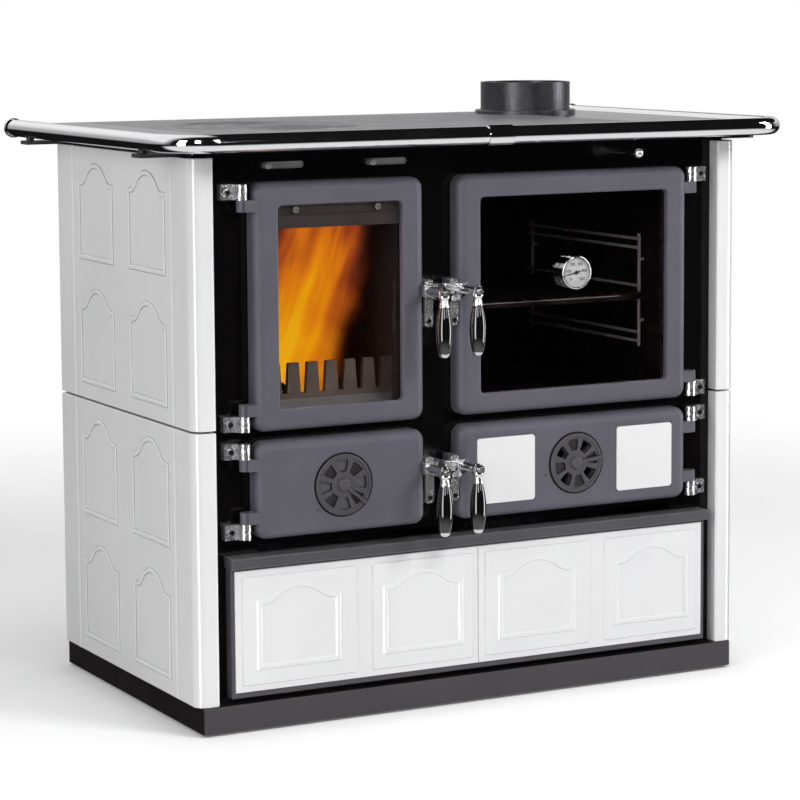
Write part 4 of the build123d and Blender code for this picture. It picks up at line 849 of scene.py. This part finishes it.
def screws(name, places, body, material, settings, size=1.0):
    """Screw heads of one size at their places on one body."""
    mesh = grow(
        name, "screw_heads", points_mesh(name, places), Head_Radius=settings.head_radius * size,
        Head_Height=settings.head_height * size, Recess=settings.recess,
        Recess_Depth=settings.head_height * size * 0.7, Finish=material,
    )
    put(name, mesh, body, smooth=False)


def spoke(angle):
    """A direction in the front's plane, from the right over the top."""
    return Vector((math.cos(angle), 0, math.sin(angle)))


def round_angles(count):
    return [math.tau * k / count for k in range(count)]


def spread(low, high, count):
    """Evenly spaced places from one end to the other."""
    return [low + (high - low) * k / (count - 1) for k in range(count)]


def seen_middle(low, high, y):
    """The middle of a box as the front shows it, at a depth of its own."""
    return Vector(((low.x + high.x) / 2, y, (low.z + high.z) / 2))


def loft(name, rings):
    """A closed skin over rings of equally many points, with a fan at each end."""
    count = len(rings[0])
    last = (len(rings) - 1) * count
    points = [p for ring in rings for p in ring]
    points += [sum(rings[0], Vector()) / count, sum(rings[-1], Vector()) / count]
    around = [(k, (k + 1) % count) for k in range(count)]
    faces = [(at + k, at + after, at + count + after, at + count + k) for at in range(0, last, count)
             for k, after in around]
    for k, after in around:
        faces += [(len(points) - 2, after, k), (len(points) - 1, last + k, last + after)]
    return mesh_of(name, points, faces)


def box_mesh(name, low, high):
    """A closed bar between two corners."""
    points = [(x, y, z) for z in (low[2], high[2]) for y in (low[1], high[1]) for x in (low[0], high[0])]
    faces = [(0, 2, 3, 1), (4, 5, 7, 6), (0, 1, 5, 4), (2, 6, 7, 3), (0, 4, 6, 2), (1, 3, 7, 5)]
    return mesh_of(name, points, faces)


def hoop(name, centre, inner, outer, thickness, count=72):
    """A flat ring that faces forward, closed all round."""
    points, faces = [], []
    for k, out in enumerate(map(spoke, round_angles(count))):
        points += [
            centre + out * outer, centre + out * outer + FORWARD * thickness,
            centre + out * inner + FORWARD * thickness, centre + out * inner,
        ]
        here, after = 4 * k, 4 * ((k + 1) % count)
        faces += [(here + j, here + (j + 1) % 4, after + (j + 1) % 4, after + j) for j in range(4)]
    return mesh_of(name, points, faces)


def joined(name, meshes):
    """Several meshes as one."""
    holders = [link_new(name, mesh) for mesh in meshes]
    with bpy.context.temp_override(
        active_object=holders[0], object=holders[0], selected_objects=holders, selected_editable_objects=holders
    ):
        bpy.ops.object.join()
    mesh = holders[0].data
    bpy.data.objects.remove(holders[0])
    return mesh


# ---------------------------------------------------------------- operators
class COOKER_OT_casing(bpy.types.Operator):
    """Finishes the white claddings and tiles, the plinth, the back and the feet"""

    bl_idname = "cooker.casing"
    bl_label = "Casing"

    def execute(self, context):
        enamel = context.scene.cooker_enamel
        iron = context.scene.cooker_iron
        bright = context.scene.cooker_bright
        mix = (enamel.colour, (0.10, 0.20), (150.0, enamel.ripple))
        white = dict(second=enamel.shade, drift=3.2, gloss_scale=9.0, wiped=0.03)
        side = dict(Axis=(1, 0, 0), Ground=CLADDING_SIDE, Relief=RELIEF, Steps=1.0)
        face = dict(Axis=(0, 1, 0), Ground=TILE_FACE, Relief=RELIEF, Steps=2.0)
        # The white finishes paint shade: a thin darker band, in a share of the white, at the foot of each raised line.
        coat("white_enamel", "vitreous_white", *mix, Coat_Weight=0.35, pooled=(0.5, side), **white)
        coat("tile_white", "glazed_tile", *mix, Coat_Weight=0.8, pooled=(0.3, face), **white)
        # The plinth is near black behind its front bar: the paler front bar is painted sheen, the black sides painted
        # shade.
        coat("plinth_paint", "satin_plinth", shaded(iron.plinth, 1.15), (0.38, 0.52), (700.0, 0.00012),
             behind=(BAR_BACK, (0.009, 0.007, 0.008)), Specular_IOR_Level=0.15)
        coat("carcass_black", "carcass_sheet", (0.022, 0.021, 0.023), (0.42, 0.58), (900.0, 0.0001), ash=0.1)
        zinc = coat("foot_steel", "foot_zinc", bright.steel, (0.3, 0.45), (300.0, 0.0001), Metallic=1.0)
        rows = spread(BACK_LOW.z + BACK_INSET, BACK_HIGH.z - BACK_INSET, 6)
        columns = spread(BACK_LOW.x + BACK_INSET, BACK_HIGH.x - BACK_INSET, 7)
        border = [(x, z) for x in (columns[0], columns[-1]) for z in rows]
        border += [(x, z) for x in columns[1:-1] for z in (rows[0], rows[-1])]
        places = [(Vector((x, BACK_HIGH.y, z)), BACKWARD) for x, z in border]
        screws("back_screws", places, "stove", zinc, bright, size=0.9)
        return {"FINISHED"}


class COOKER_OT_front(bpy.types.Operator):
    """Finishes the front plate, the sill, the cast doors, their registers and the drawer"""

    bl_idname = "cooker.front"
    bl_label = "Front and doors"

    def execute(self, context):
        iron = context.scene.cooker_iron
        coat("front_black", "gloss_front", iron.front, (0.10, 0.20), (90.0, 0.00008), wiped=0.03,
             Specular_IOR_Level=0.35)
        coat("drawer_black", "drawer_paint", shaded(iron.plinth, 1.4), (0.32, 0.45), (700.0, 0.0001), ash=0.15)
        coat("sill_black", "sill_paint", iron.sill, (0.30, 0.42), (600.0, 0.0001), ash=0.2)
        coat("door_iron", "stove_paint", iron.door, (0.44, 0.56), (950.0, iron.skin), drift=11.0, gloss_scale=60.0,
             ash=0.12)
        # Inside the registers' wells the paint turns darker: painted shade in the recesses.
        coat("register_iron", "register_paint", iron.register, (0.36, 0.5), (900.0, iron.skin), drift=30.0,
             gloss_scale=60.0, behind=(WELL_BACK, (0.010, 0.008, 0.010)))
        dress("seal_rope", braided_rope("braided_rope"))
        # A flat black ring at the bottom of each register's recess: painted shade in the gap round the register.
        shade_ring = paint("groove_black", (0.006, 0.005, 0.006), (0.5, 0.7), (900.0, 0.0001))
        for node, body in (("ash_register", "ash_door"), ("lower_register", "lower_door")):
            centre = seen_middle(*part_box(node), RECESS_BOTTOM)
            ring = hoop(f"{node}_groove", centre, GAP_SHADE_INNER, GAP_SHADE_OUTER, GAP_SHADE_THICK)
            put(f"{node}_groove", ring, body, shade_ring, smooth=False)
        return {"FINISHED"}


class COOKER_OT_hob(bpy.types.Operator):
    """Finishes the hob, its frame and the flue collar, and casts the rings round its middle"""

    bl_idname = "cooker.hob"
    bl_label = "Hob and flue"

    def execute(self, context):
        hob = context.scene.cooker_hob
        ground = coat(
            "hob_iron", "ground_iron", hob.colour, (0.28, 0.46), (260.0, hob.lines), second=shaded(hob.colour, 0.8),
            drift=7.0, stretch=(0.5, 2.5, 2.5), gloss_scale=14.0, grain_stretch=(0.08, 2.0, 2.0), Metallic=0.6,
        )
        coat("hob_frame_black", "frame_enamel", (0.008, 0.008, 0.009), (0.05, 0.12), (60.0, 0.00006), wiped=0.04,
             Coat_Weight=0.4)
        coat("flue_iron", "flue_blacking", hob.flue, (0.22, 0.34), (420.0, 0.0004), drift=22.0,
             stretch=(3.0, 3.0, 0.5), gloss_scale=70.0, Metallic=0.75, ash=0.1)
        pitch = hob.ring_pitch
        plans = (
            ("hob_disc", DISC_R - RING_MARGIN - pitch * (hob.disc_rings - 1), hob.disc_rings),
            ("hob_ring", DISC_R + RING_MARGIN, int((RING_R - DISC_R - 2 * RING_MARGIN) / pitch) + 1),
            ("stove", RING_R + RING_MARGIN, hob.plate_rings),
        )
        for body, first, count in plans:
            mesh = grow(
                f"cast_rings_{body}", "cast_rings", mesh_of("seed", []), First_Radius=first, Pitch=pitch,
                Count=count, Bead=hob.bead_radius, Centre=(RING.x, RING.y, HOB_TOP), Finish=ground,
            )
            put(f"cast_rings_{body}", mesh, body)
        return {"FINISHED"}


class COOKER_OT_fittings(bpy.types.Operator):
    """Finishes the rail, hinges, levers, grips and sliders, and adds the small screws"""

    bl_idname = "cooker.fittings"
    bl_label = "Rail, hinges and levers"

    def execute(self, context):
        bright = context.scene.cooker_bright
        chrome = bright.chrome
        coat("rail_chrome", "bright_chrome", chrome, (0.03, 0.09), (120.0, 0.00002), second=shaded(chrome, 0.97),
             drift=5.0, gloss_scale=12.0, wiped=0.05, Metallic=1.0)
        coat("hinge_chrome", "plated_chrome", shaded(chrome, 0.94), (0.08, 0.2), (500.0, 0.00005), drift=40.0,
             gloss_scale=60.0, wiped=0.06, Metallic=1.0)
        coat("case_chrome", "case_chrome_polish", chrome, (0.06, 0.14), (300.0, 0.00003), drift=60.0, Metallic=1.0)
        coat("grip_black", "gloss_grip", bright.grip, (0.04, 0.12), (140.0, 0.00003), gloss_scale=90.0,
             Coat_Weight=1.0)
        coat("slider_steel", "slider_sheet", (0.36, 0.355, 0.37), (0.22, 0.36), (300.0, 0.00006),
             stretch=(0.3, 3.0, 6.0), grain_stretch=(0.1, 2.0, 3.0), Metallic=0.3)
        satin = paint("satin_zinc", shaded(chrome, 0.9), (0.08, 0.18), (210.0, 0.0011), drift=70.0,
                      gloss_scale=90.0, wiped=0.05, Metallic=0.9)
        dress_nodes(satin, "hinges", "latch_keepers", *LATCH_BRACKETS)
        dress_nodes(bpy.data.materials["carcass_sheet"], "rail_brackets")
        hooks = paint("hook_iron", (0.03, 0.03, 0.033), (0.3, 0.45), (500.0, 0.0002), Metallic=0.3)
        dress_nodes(hooks, "rear_hooks")
        bolt = paint("black_bolt", (0.012, 0.012, 0.013), (0.3, 0.45), (700.0, 0.00005), Metallic=0.6)
        self.fix_hinges(bright, bolt)
        self.fix_latches(bright, bolt)
        self.fix_clamp(bright)
        return {"FINISHED"}

    def fix_hinges(self, bright, bolt):
        """One bolt in the middle of every hinge block's plate."""
        low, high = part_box("hinges")
        levels = [low.z + up for up in HINGE_BOLTS_UP] + [high.z - down for down in HINGE_BOLTS_DOWN]
        x, y = high.x - HINGE_BOLT_IN, high.y - HINGE_BOLT_AHEAD
        places = [(Vector((side * x, y, z)), FORWARD) for side in (-1, 1) for z in levels]
        screws("hinge_bolts", places, "stove", bolt, bright, size=0.85)

    def fix_latches(self, bright, bolt):
        """Two bolts in each latch bracket."""
        for node, body in LATCH_BRACKETS.items():
            low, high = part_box(node)
            x = high.x - PAD_HALF_WIDTH if low.x < LEFT_BRACKETS_BELOW_X else low.x + PAD_HALF_WIDTH
            y, middle = high.y - LATCH_BOLT_AHEAD, (low.z + high.z) / 2
            places = [(Vector((x, y, middle + side * LATCH_BOLT_ASIDE)), FORWARD) for side in (-1, 1)]
            screws(f"{node}_bolts", places, body, bolt, bright, size=0.8)

    def fix_clamp(self, bright):
        """Two round screws hold the clamp over the upper edge of the fire's glass."""
        low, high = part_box("glass_clamp")
        steel = paint("screw_steel", (0.20, 0.185, 0.18), (0.3, 0.5), (700.0, 0.0001), Metallic=0.5)
        places = [(Vector((x, low.y, high.z - CLAMP_SCREW_DOWN)), FORWARD) for x in CLAMP_SCREWS_X]
        screws("clamp_screws", places, "firebox_door", steel, bright, size=1.15)


class COOKER_OT_fire(bpy.types.Operator):
    """Finishes the firebox and oven insides and lights the fire: logs, embers and flames"""

    bl_idname = "cooker.fire"
    bl_label = "Firebox, oven and fire"

    def execute(self, context):
        fire = context.scene.cooker_fire
        enamel = context.scene.cooker_enamel
        steel = context.scene.cooker_bright.steel
        dress("fire_lining", brick_lining("fire_brick"))
        metals = (
            ("grate_iron", "grate_casting", (0.05, 0.046, 0.045), 0.4, (0.55, 0.75), (0.40, 0.62), (380.0, 0.0005)),
            ("guard_steel", "guard_sheet", (0.088, 0.060, 0.047), 0.15, (0.4, 0.6), (0.52, 0.75), (420.0, 0.0004),
             (2.0, 2.0, 0.12), (LIP_BACK, (0.115, 0.105, 0.108))),
            ("clamp_steel", "clamp_sheet", (0.034, 0.024, 0.021), 0.2, (0.35, 0.5), (0.7, 1.0), (500.0, 0.0002),
             (0.2, 2.0, 2.0)),
            ("pan_steel", "pan_sheet", shaded(steel, 0.4), 0.7, (0.4, 0.6), (0.1, 0.5), (300.0, 0.0003)),
        )
        for slot, *finish in metals:
            dress(slot, sooted_metal(*finish))
        dress("inner_enamel", flecked_enamel("oven_enamel", enamel))
        dress("shelf_enamel", flecked_enamel("shelf_granite", enamel))
        dress("runner_steel", zinc_plate("galvanised_sheet"))
        # The rack wire is near white and hardly metallic: the white stands in for the chrome's bright reflections.
        coat("rack_chrome", "rack_wire", (0.95, 0.94, 0.93), (0.15, 0.3), (400.0, 0.00004), Metallic=0.05)
        dress("clear_glass", glass("fire_glass", (0.95, 0.95, 0.94)))
        dress("oven_glass", glass("tinted_glass", (0.62, 0.58, 0.58)))
        self.paint_shelf_lip_highlight()
        self.lay_logs(fire)
        self.scatter_embers(fire)
        self.raise_flames(fire)
        return {"FINISHED"}

    def paint_shelf_lip_highlight(self):
        """A painted highlight: a thin pale strip along the top of the oven shelf's front lip."""
        low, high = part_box("oven_shelf")
        # A thin pale strip on the top of the lip's front: a painted highlight.
        highlight_paint = paint("worn_lip", (0.75, 0.74, 0.73), (0.2, 0.35), (500.0, 0.00005), Metallic=0.2)
        edge = box_mesh(
            "shelf_lip_edge", (low.x + LIP_LEFT_GAP, low.y - LIP_PROUD, high.z - LIP_TALL),
            (high.x - LIP_RIGHT_GAP, low.y, high.z),
        )
        put("shelf_lip_edge", edge, "stove", highlight_paint, smooth=False)

    def lay_logs(self, fire):
        """Two split logs on the grate, along the firebox, charred where they burn."""
        dice = random.Random(fire.seed)
        steps, around, floor = 15, 28, GRATE_TOP + 0.001
        logs = []
        for x, radius, start, length in LOGS:
            phase = dice.uniform(0, math.tau)
            rings = []
            for step in range(steps):
                along = step / (steps - 1)
                lump = 1 + 0.05 * math.sin(phase + 5 * along)
                end = 0.93 if step in (0, steps - 1) else 1.0
                ring = []
                for angle in round_angles(around):
                    bark_line = 1 + 0.05 * math.sin(7 * angle + phase) + 0.03 * math.sin(11 * angle + 9 * along)
                    reach = radius * bark_line * lump * end
                    ring.append(
                        Vector((x + reach * math.cos(angle), start + length * along,
                                floor + radius * 1.09 + reach * math.sin(angle)))
                    )
                rings.append(ring)
            mesh = loft("log", rings)
            mesh.flip_normals()
            logs.append(mesh)
        put("burning_logs", joined("burning_logs", logs), "stove", material=charred_bark("charred_bark"))

    def scatter_embers(self, fire):
        """Glowing charcoal over the grate."""
        z = GRATE_TOP + 4 * MM
        (left, right), (front, back) = BED_X, BED_Y
        bed = mesh_of("bed", [(left, front, z), (right, front, z), (right, back, z), (left, back, z)], [(0, 1, 2, 3)])
        mesh = grow(
            "ember_bed", "ember_bed", bed, Density=fire.embers, Smallest=0.45, Largest=1.25, Lump_Radius=0.0085,
            Seed=fire.seed, Finish=glowing_ember("glowing_ember", fire.ember),
        )
        put("ember_bed", mesh, "stove", smooth=False)

    def raise_flames(self, fire):
        """Sheets of flame, one behind the other, as wide as the firebox."""
        low_z, steps, around = GRATE_TOP + 5 * MM, 32, 36
        middle, half = (LINER_LEFT + LINER_RIGHT) / 2, (LINER_RIGHT - LINER_LEFT) / 2 - 6 * MM
        sheets = []
        for y, thickness in FLAME_SHEETS:
            rings = []
            for step in range(steps + 1):
                rise = step / steps
                # It widens above the grate and closes at the top.
                width = min(1.0, 0.35 + 3 * rise) * (1 - rise ** 6) ** 0.5 + 0.002
                rings.append([
                    Vector((middle + half * width * math.cos(angle), y + thickness * width * math.sin(angle),
                            low_z + (FLAME_TOP_Z - low_z) * rise))
                    for angle in round_angles(around)
                ])
            sheets.append(loft("sheet", rings))
        flames = put("flames", joined("flames", sheets), "stove", material=flame_glow("flame_glow", fire))
        flames.visible_glossy = False


class COOKER_OT_thermometer(bpy.types.Operator):
    """Prints the oven thermometer's scale and sets its needle"""

    bl_idname = "cooker.thermometer"
    bl_label = "Thermometer"

    def execute(self, context):
        dial = context.scene.cooker_dial
        coat("dial_white", "dial_card", (0.52, 0.52, 0.51), (0.3, 0.4), (800.0, 0.00003), second=(0.36, 0.36, 0.36),
             drift=55.0, Coat_Weight=0.3)
        ink = paint("dial_ink", (0.012, 0.012, 0.014), (0.4, 0.5), (900.0, 0.00001))
        centre = seen_middle(DIAL_LOW, DIAL_HIGH, DIAL_LOW.y - 0.0001)
        radius = (DIAL_HIGH.x - DIAL_LOW.x) / 2

        def on_scale(share):
            return spoke(math.pi / 2 + dial.sweep / 2 - dial.sweep * share)

        self.print_ticks(dial, centre, radius, on_scale, ink)
        self.print_numerals(dial, centre, radius, on_scale, ink)
        self.set_needle(centre, radius, on_scale(dial.needle), ink)
        return {"FINISHED"}

    def print_ticks(self, dial, centre, radius, on_scale, ink):
        from_rim, width, thickness = 0.0024, 0.0006, 0.0003
        outs = [on_scale(k / (dial.ticks - 1)) for k in range(dial.ticks)]
        places = [(centre + out * (radius - from_rim), out) for out in outs]
        marks = grow(
            "dial_ticks", "printed_marks", points_mesh("ticks", places), Size=(dial.tick_length, thickness, width),
            Finish=ink,
        )
        put("dial_ticks", marks, "oven_door", smooth=False)

    def print_numerals(self, dial, centre, radius, on_scale, ink):
        """Six plain figures, in hundreds."""
        figures = []
        for k in range(6):
            text = bpy.data.curves.new("figure", "FONT")
            text.body = str(k * 100)
            text.size = dial.numeral
            text.align_x = "CENTER"
            text.align_y = "CENTER"
            text.extrude = 0.0001
            holder = link_new("figure", text)
            bpy.context.view_layer.update()
            mesh = bpy.data.meshes.new_from_object(holder.evaluated_get(bpy.context.evaluated_depsgraph_get()))
            bpy.data.objects.remove(holder)
            place = centre + on_scale(k / 5) * (radius * 0.62)
            mesh.transform(Matrix.Translation(place) @ Matrix.Rotation(math.pi / 2, 4, "X"))
            mesh.materials.clear()
            figures.append(mesh)
        put("dial_numerals", joined("dial_numerals", figures), "oven_door", ink, smooth=False)

    def set_needle(self, centre, radius, out, ink):
        """A tapered needle with a short tail, on a round hub."""
        outline = ((-0.30, 0.0009), (-0.28, 0.0016), (0.0, 0.0012), (0.82, 0.0006), (0.86, 0.0002))
        hub_steps = ((0.0, 0.0030), (0.0008, 0.0030), (0.0012, 0.0022))
        across = Vector((-out.z, 0, out.x))
        hub = centre + FORWARD * 0.0008
        rings = []
        for reach, half in outline:
            middle = hub + out * (reach * radius)
            rings.append(
                [middle + across * half, middle + FORWARD * 0.0003, middle - across * half, middle - FORWARD * 0.0002]
            )
        cap = [
            [hub + FORWARD * lift + spoke(angle) * size for angle in round_angles(20)] for lift, size in hub_steps
        ]
        mesh = joined("dial_needle", [loft("needle", rings), loft("hub", cap)])
        put("dial_needle", mesh, "oven_door", ink)


class COOKER_OT_stage(bpy.types.Operator):
    """Lays the pale floor, hangs the lamps and sets the camera"""

    bl_idname = "cooker.stage"
    bl_label = "Stage"

    def execute(self, context):
        stage = context.scene.cooker_stage
        self.lay_floor(stage)
        self.light_room(stage)
        self.hang_lamps(stage)
        self.set_camera(context, stage)
        context.scene.view_settings.view_transform = "Standard"
        return {"FINISHED"}

    def lay_floor(self, stage):
        """A wide disc that fades into the white of the room."""
        points = [(0.0, 0.0, 0.0)]
        for ring in range(1, FLOOR_RINGS + 1):
            reach = FLOOR_REACH * ring / FLOOR_RINGS
            points += [(reach * math.cos(angle), reach * math.sin(angle), 0.0) for angle in round_angles(FLOOR_SPOKES)]
        around = [(k, (k + 1) % FLOOR_SPOKES) for k in range(FLOOR_SPOKES)]
        faces = [(0, 1 + k, 1 + after) for k, after in around]
        for inner in range(1, 1 + FLOOR_SPOKES * (FLOOR_RINGS - 1), FLOOR_SPOKES):
            outer = inner + FLOOR_SPOKES
            faces += [(inner + k, outer + k, outer + after, inner + after) for k, after in around]
        mesh = mesh_of("studio_floor", points, faces)
        floor = link_new("studio_floor", mesh)
        material, tree, shader = start_material(
            "floor_sweep", Roughness=0.7, Specular_IOR_Level=0.1, Emission_Color=(1, 1, 1, 1)
        )
        tone = tones(tree, stage.floor, shaded(stage.floor, 0.99), 1.5)
        distance = add(tree, "ShaderNodeVectorMath", {0: position(tree)}, operation="LENGTH").outputs["Value"]
        path = add(tree, "ShaderNodeLightPath")
        lift = maths(tree, "MULTIPLY", path.outputs["Is Camera Ray"], 0.10)
        fade = span(tree, distance, 1.0, 2.9, 1.0, 0.0, smooth=True)
        wire(tree, shader, Base_Color=tone, Emission_Strength=lift, Alpha=fade)
        mesh.materials.append(material)
        floor.visible_glossy = False

    def light_room(self, stage):
        """White for the camera. Mirrors see a white wall behind the object and soft boxes in a dark room before it."""
        world = bpy.data.worlds.new("studio_room")
        bpy.context.scene.world = world
        world.use_nodes = True
        tree = world.node_tree
        tree.nodes.clear()
        axes = split(tree, add(tree, "ShaderNodeTexCoord").outputs["Generated"])
        x, y, z = (axes[name] for name in "XYZ")
        upper = join(tree, "MAXIMUM", span(tree, z, 0.36, 0.30), span(tree, x, 0.36, 0.28))
        wall = join(tree, "MULTIPLY", span(tree, y, -0.1, 0.3), span(tree, z, -0.12, 0.0),
                    span(tree, z, 0.12, 0.34, 0.46, 1.0), upper)
        floor = join(tree, "MULTIPLY", span(tree, z, -0.28, -0.5), span(tree, y, 0.45, 0.2, 0.0, 0.9))
        turn = maths(tree, "ARCTAN2", x, maths(tree, "MULTIPLY", y, -1.0))
        mirrored = join(tree, "MAXIMUM", wall, floor, 0.008)
        for centre, half, low, high in SOFT_BOXES:
            across = maths(tree, "COMPARE", turn, math.radians(centre), math.radians(half))
            up = maths(tree, "COMPARE", z, (low + high) / 2, (high - low) / 2)
            lit = join(tree, "MULTIPLY", across, up, stage.box_light)
            mirrored = maths(tree, "MAXIMUM", mirrored, lit)
        path = add(tree, "ShaderNodeLightPath").outputs
        through = maths(tree, "MULTIPLY", path["Is Transmission Ray"], span(tree, y, -0.05, 0.05))
        seen = maths(tree, "MAXIMUM", path["Is Camera Ray"], through)
        sharp = maths(tree, "MAXIMUM", path["Is Glossy Ray"], path["Is Transmission Ray"])
        glossy = add(tree, "ShaderNodeMix", {0: sharp, 2: stage.ambient, 3: mirrored}, data_type="FLOAT")
        strength = add(tree, "ShaderNodeMix", {0: seen, 2: glossy.outputs[0], 3: 1.0}, data_type="FLOAT")
        background = add(tree, "ShaderNodeBackground", {"Color": (1, 1, 1, 1), "Strength": strength.outputs[0]})
        add(tree, "ShaderNodeOutputWorld", {"Surface": background.outputs["Background"]})

    def hang_lamps(self, stage):
        """Soft lamps before the cooker on the right, overhead and on the left."""
        plans = (
            ("key_lamp", (1.5, -2.8, 2.3), 1.1, 0.9, stage.key_power),
            ("top_lamp", (0.1, -0.3, 2.9), 2.2, 1.6, stage.top_power),
            ("side_lamp", (-2.8, -1.3, 1.3), 1.6, 1.8, stage.side_power),
        )
        for name, place, width, height, power in plans:
            lamp = bpy.data.lights.new(name, "AREA")
            lamp.shape = "RECTANGLE"
            lamp.size = width
            lamp.size_y = height
            lamp.energy = power
            holder = link_new(name, lamp)
            holder.location = place
            holder.rotation_mode = "QUATERNION"
            holder.rotation_quaternion = (LAMP_AIM - Vector(place)).to_track_quat("-Z", "Y")
            holder.visible_camera = False
            holder.visible_glossy = False

    def set_camera(self, context, stage):
        """A long lens at the photograph's place, turned by yaw and pitch and then rolled about its view."""
        camera = bpy.data.cameras.new("photo_camera")
        camera.sensor_width = 36.0
        camera.lens = stage.lens
        camera.shift_y = stage.shift
        camera.clip_start = 0.1
        camera.clip_end = 100.0
        holder = link_new("photo_camera", camera)
        yaw, pitch, roll = stage.yaw, stage.pitch, stage.roll
        ahead = Vector((math.sin(yaw) * math.cos(pitch), math.cos(yaw) * math.cos(pitch), math.sin(pitch)))
        right = Vector((math.cos(yaw), -math.sin(yaw), 0))
        above = right.cross(ahead)
        turned_right = right * math.cos(roll) + above * math.sin(roll)
        turned_above = above * math.cos(roll) - right * math.sin(roll)
        turn = Matrix((turned_right, turned_above, -ahead)).transposed()
        holder.matrix_world = Matrix.Translation(Vector(stage.place)) @ turn.to_4x4()
        context.scene.camera = holder


class COOKER_PT_panel(bpy.types.Panel):
    """Lists the cooker's operators and settings"""

    bl_idname = "COOKER_PT_panel"
    bl_label = "Wood range cooker"
    bl_space_type = "VIEW_3D"
    bl_region_type = "UI"
    bl_category = "Cooker"

    def draw(self, context):
        for operator in OPERATORS:
            self.layout.operator(operator.bl_idname)
        for name, group in SETTING_GROUPS.items():
            box = self.layout.box()
            for setting in group.__annotations__:
                box.prop(getattr(context.scene, name), setting)


OPERATORS = (
    COOKER_OT_casing,
    COOKER_OT_front,
    COOKER_OT_hob,
    COOKER_OT_fittings,
    COOKER_OT_fire,
    COOKER_OT_thermometer,
    COOKER_OT_stage,
)
CLASSES = (*SETTING_GROUPS.values(), *OPERATORS, COOKER_PT_panel)


def register():
    for item in CLASSES:
        bpy.utils.register_class(item)
    for name, group in SETTING_GROUPS.items():
        setattr(bpy.types.Scene, name, PointerProperty(type=group))


def unregister():
    for name in SETTING_GROUPS:
        delattr(bpy.types.Scene, name)
    for item in reversed(CLASSES):
        bpy.utils.unregister_class(item)


def check_finishes():
    """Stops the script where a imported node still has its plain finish."""
    plain = {m["slot"] for m in frame["record"]["materials"]}
    left = sorted({s.material.name for o in frame["nodes"].values() for s in o.material_slots} & plain)
    if left:
        raise RuntimeError(f"these slots have no finish yet: {left}")


def main():
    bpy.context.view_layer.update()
    register()
    for operator in OPERATORS:
        group, name = operator.bl_idname.split(".")
        getattr(getattr(bpy.ops, group), name)()
    check_finishes()


if __name__ == "__main__":
    main()
